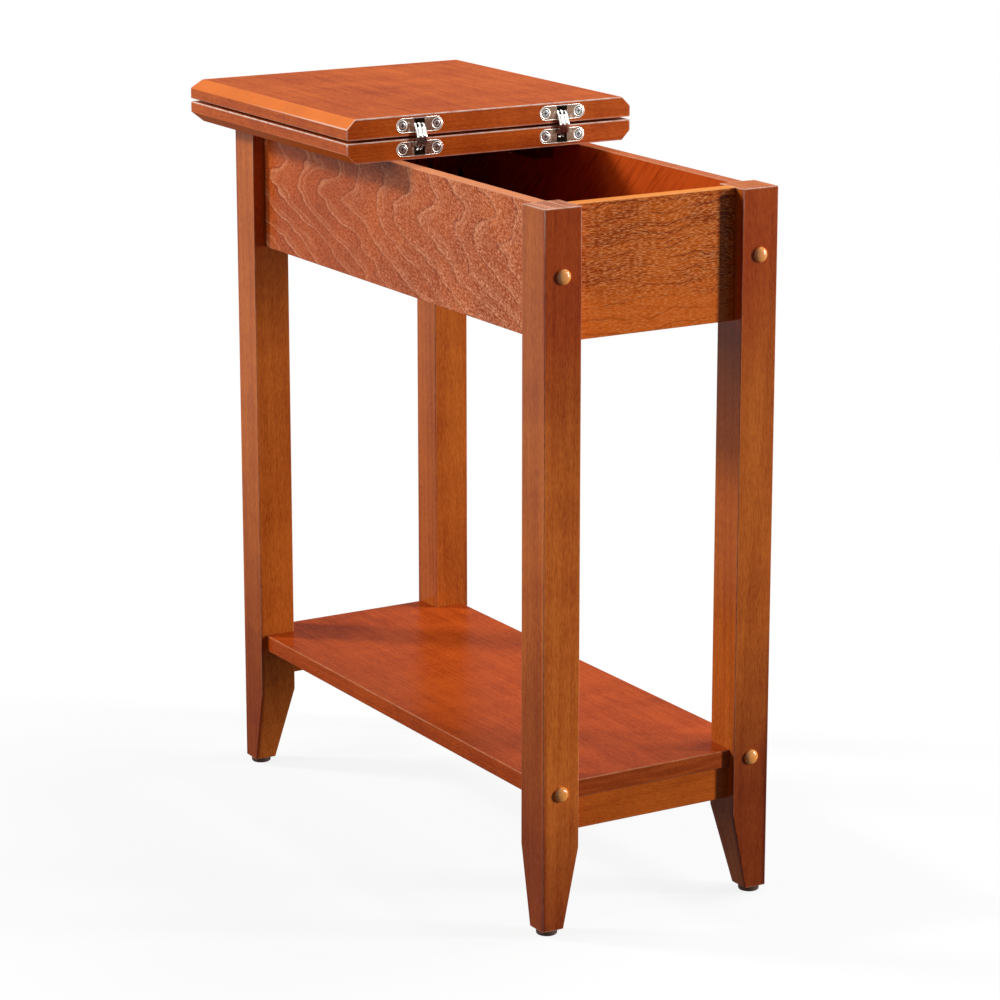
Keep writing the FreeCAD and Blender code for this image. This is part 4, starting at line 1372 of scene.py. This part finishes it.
def main() -> None:
    """Builds the table piece by piece and the studio round it."""
    logging.basicConfig(level=logging.INFO)
    Studio().build()
    LegFrame(
        SolidWood(
            "leg_cherry", Axis.Z, (0.58, 0.146, 0.020), (0.33, 0.056, 0.007), pith=(0.11, 0.17), tilt=0.02,
            fibre_share=0.45, pore_share=0.34, lacquer=Lacquer(coat=0.46, facing_loss=0.68),
            stains=(
                # Darker stain high on the front and rear faces.
                LegStainAndPaintedLight(Axis.X, 0.42, 0.55, (0.76, 0.47, 0.55), 0.9, 0.3),
                # Painted light: lifts the front and rear faces of the left legs below the box, where the
                # right-hand lamp reaches less.
                LegStainAndPaintedLight(Axis.X, 0.19, 0.06, (1.20, 1.24, 1.35), 1.0, -3.0),
                # Painted shade low on the front and rear faces, reaching higher on the right legs.
                LegStainAndPaintedLight(Axis.X, 0.20, 0.03, (0.46, 0.31, 0.46), 0.95, 0.6),
                # Painted shade low on the side faces.
                LegStainAndPaintedLight(Axis.Y, 0.32, 0.06, (0.54, 0.38, 0.45), 1.0),
            ),
            layers=(
                EndGrain(
                    Axis.Z, 0.005, 0.617, ((0.22, 0.045, 0.016), (0.78, 0.36, 0.21)), 0.85, Axis.X, 0.7
                ),
                # Legs: pale scuffs and painted highlights on the edges, strongest near the tops.
                ScuffedAndHighlitEdges(
                    WearAndHighlightBox.of_node("front_right_leg", (True, True, False), 0.05), (0.95, 0.66, 0.50),
                    0.0014, 0.6,
                ),
            ),
        ),
        SolidWood(
            "plug_cherry", Axis.X, (0.96, 0.40, 0.085), (0.72, 0.21, 0.030), ring_spacing=0.004,
            lacquer=Lacquer(coat=0.9, coat_rough=0.16, grazing_loss=0.4, facing_loss=0.0),
        ),
        MouldedPlastic("glide_plastic", (0.060, 0.022, 0.012), (0.10, 0.050, 0.032)),
    ).build()
    low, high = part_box("right_side_panel")
    panel = dict(low=low[2], height=high[2] - low[2])
    StorageBox(
        FiguredVeneer(
            name="figured_side_veneer", light=(0.59, 0.110, 0.016), deep=(0.29, 0.040, 0.006),
            fleck_and_glint=(0.84, 0.36, 0.18), lip=(0.68, 0.26, 0.12), shaded_lip=(0.46, 0.12, 0.045),
            inner=low[1], wear_and_highlight=WearAndHighlightBox.of_node("right_side_panel", (False, True, False)), **panel,
        ),
        StreakedVeneer(
            name="streaked_end_veneer", light=(0.62, 0.124, 0.012), deep=(0.25, 0.033, 0.004),
            fleck_and_glint=(0.87, 0.38, 0.14), lip=(0.80, 0.27, 0.045),
            wear_and_highlight=WearAndHighlightBox.of_node("front_end_panel", (True, False, False)), **panel,
        ),
        # The tray and battens are stained almost black, which also paints the deep shade inside the box.
        SolidWood("tray_ply", Axis.X, (0.07, 0.020, 0.009), (0.035, 0.010, 0.006)),
        SolidWood("batten_pine", Axis.X, (0.13, 0.035, 0.012), (0.06, 0.016, 0.007)),
    ).build()
    low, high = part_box("shelf")
    LowShelf(
        SolidWood(
            "shelf_cherry", Axis.X, (0.48, 0.076, 0.010), (0.26, 0.030, 0.004), ring_share=0.06,
            fibre_share=1.0, mottle_share=0.8, pore_share=0.45,
            lacquer=Lacquer(coat=0.27, coat_rough=0.28, grazing_loss=0.66),
            layers=(
                EndGrain(Axis.X, low[0], high[0]),
                # Shelf: pale scuffs and painted highlights on the edges, strongest on the top edges.
                ScuffedAndHighlitEdges(WearAndHighlightBox.of_node("shelf"), width=0.0014, share=0.4),
            ),
        ),
        SolidWood(
            "rail_cherry", Axis.Y, (0.58, 0.122, 0.012), (0.32, 0.050, 0.005),
            layers=(ScuffedAndHighlitEdges(WearAndHighlightBox.of_node("front_shelf_rail", (True, False, False))),),
        ),
    ).build()
    # Near-white colour of the painted highlights on the leaves' edges and bevel rims.
    pale = (0.98, 0.86, 0.74)
    leaves = [
        SolidWood(
            f"{leaf}_cherry", Axis.X, (0.58, 0.115, 0.014), (0.32, 0.044, 0.006), pith=pith, ring_share=0.08,
            fibre_share=0.9, mottle_share=0.85, pore_share=0.32, lipped=(-0.2805, 0.0112),
            layers=(
                PaintedLightBevel(face_z, up, lit_bevel, pale, rim_share),
                ScuffedAndHighlitEdges(WearAndHighlightBox.of_node(leaf), pale, 0.0015, 0.95),
            ),
        )
        for leaf, pith, face_z, up, lit_bevel, rim_share in (
            # The fixed leaf's bevels face down and get a darker painted colour with faint rims; the flip
            # leaf's face up and get a lighter one with strong rims.
            ("fixed_leaf", (0.02, 0.35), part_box("fixed_leaf")[0][2], -1.0, (0.62, 0.13, 0.020), 0.1),
            ("flip_leaf", (0.08, 0.95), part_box("flip_leaf")[1][2], 1.0, (0.86, 0.21, 0.030), 0.6),
        )
    ]
    FoldingTop(
        *leaves,
        # The plate's brown flat colour is a painted reflection of the wood round it.
        StampedNickel("hinge_nickel", (0.20, 0.125, 0.085), (0.78, 0.74, 0.68), 0.28, (0.0008, 0.005)),
        PlatedMetal("link_nickel", (0.90, 0.88, 0.86), (0.70, 0.67, 0.62), 0.2, Axis.Z),
        PlatedMetal("pin_steel", (0.62, 0.61, 0.59), (0.45, 0.43, 0.41), 0.28),
        # On the screws, the near-black sunk cross is painted shade.
        StampedNickel(
            "hinge_screw_nickel", (0.36, 0.35, 0.35), (0.90, 0.88, 0.85), 0.24, (0.0002, 0.0006),
            (0.030, 0.026, 0.024),
        ),
    ).build()
    beech = SolidWood("dowel_beech", Axis.X, (0.66, 0.48, 0.30), (0.48, 0.32, 0.18), ring_spacing=0.003)
    dress(["side_panel_dowels", "end_panel_dowels", "rail_dowels"], beech.material())
    zinc = PlatedMetal("zinc_plate", (0.62, 0.63, 0.64), (0.46, 0.46, 0.45), 0.34, Axis.X)
    dress(["frame_bolts", "barrel_nuts", "shelf_screws", "cleat_screws"], zinc.material())


if __name__ == "__main__":
    main()
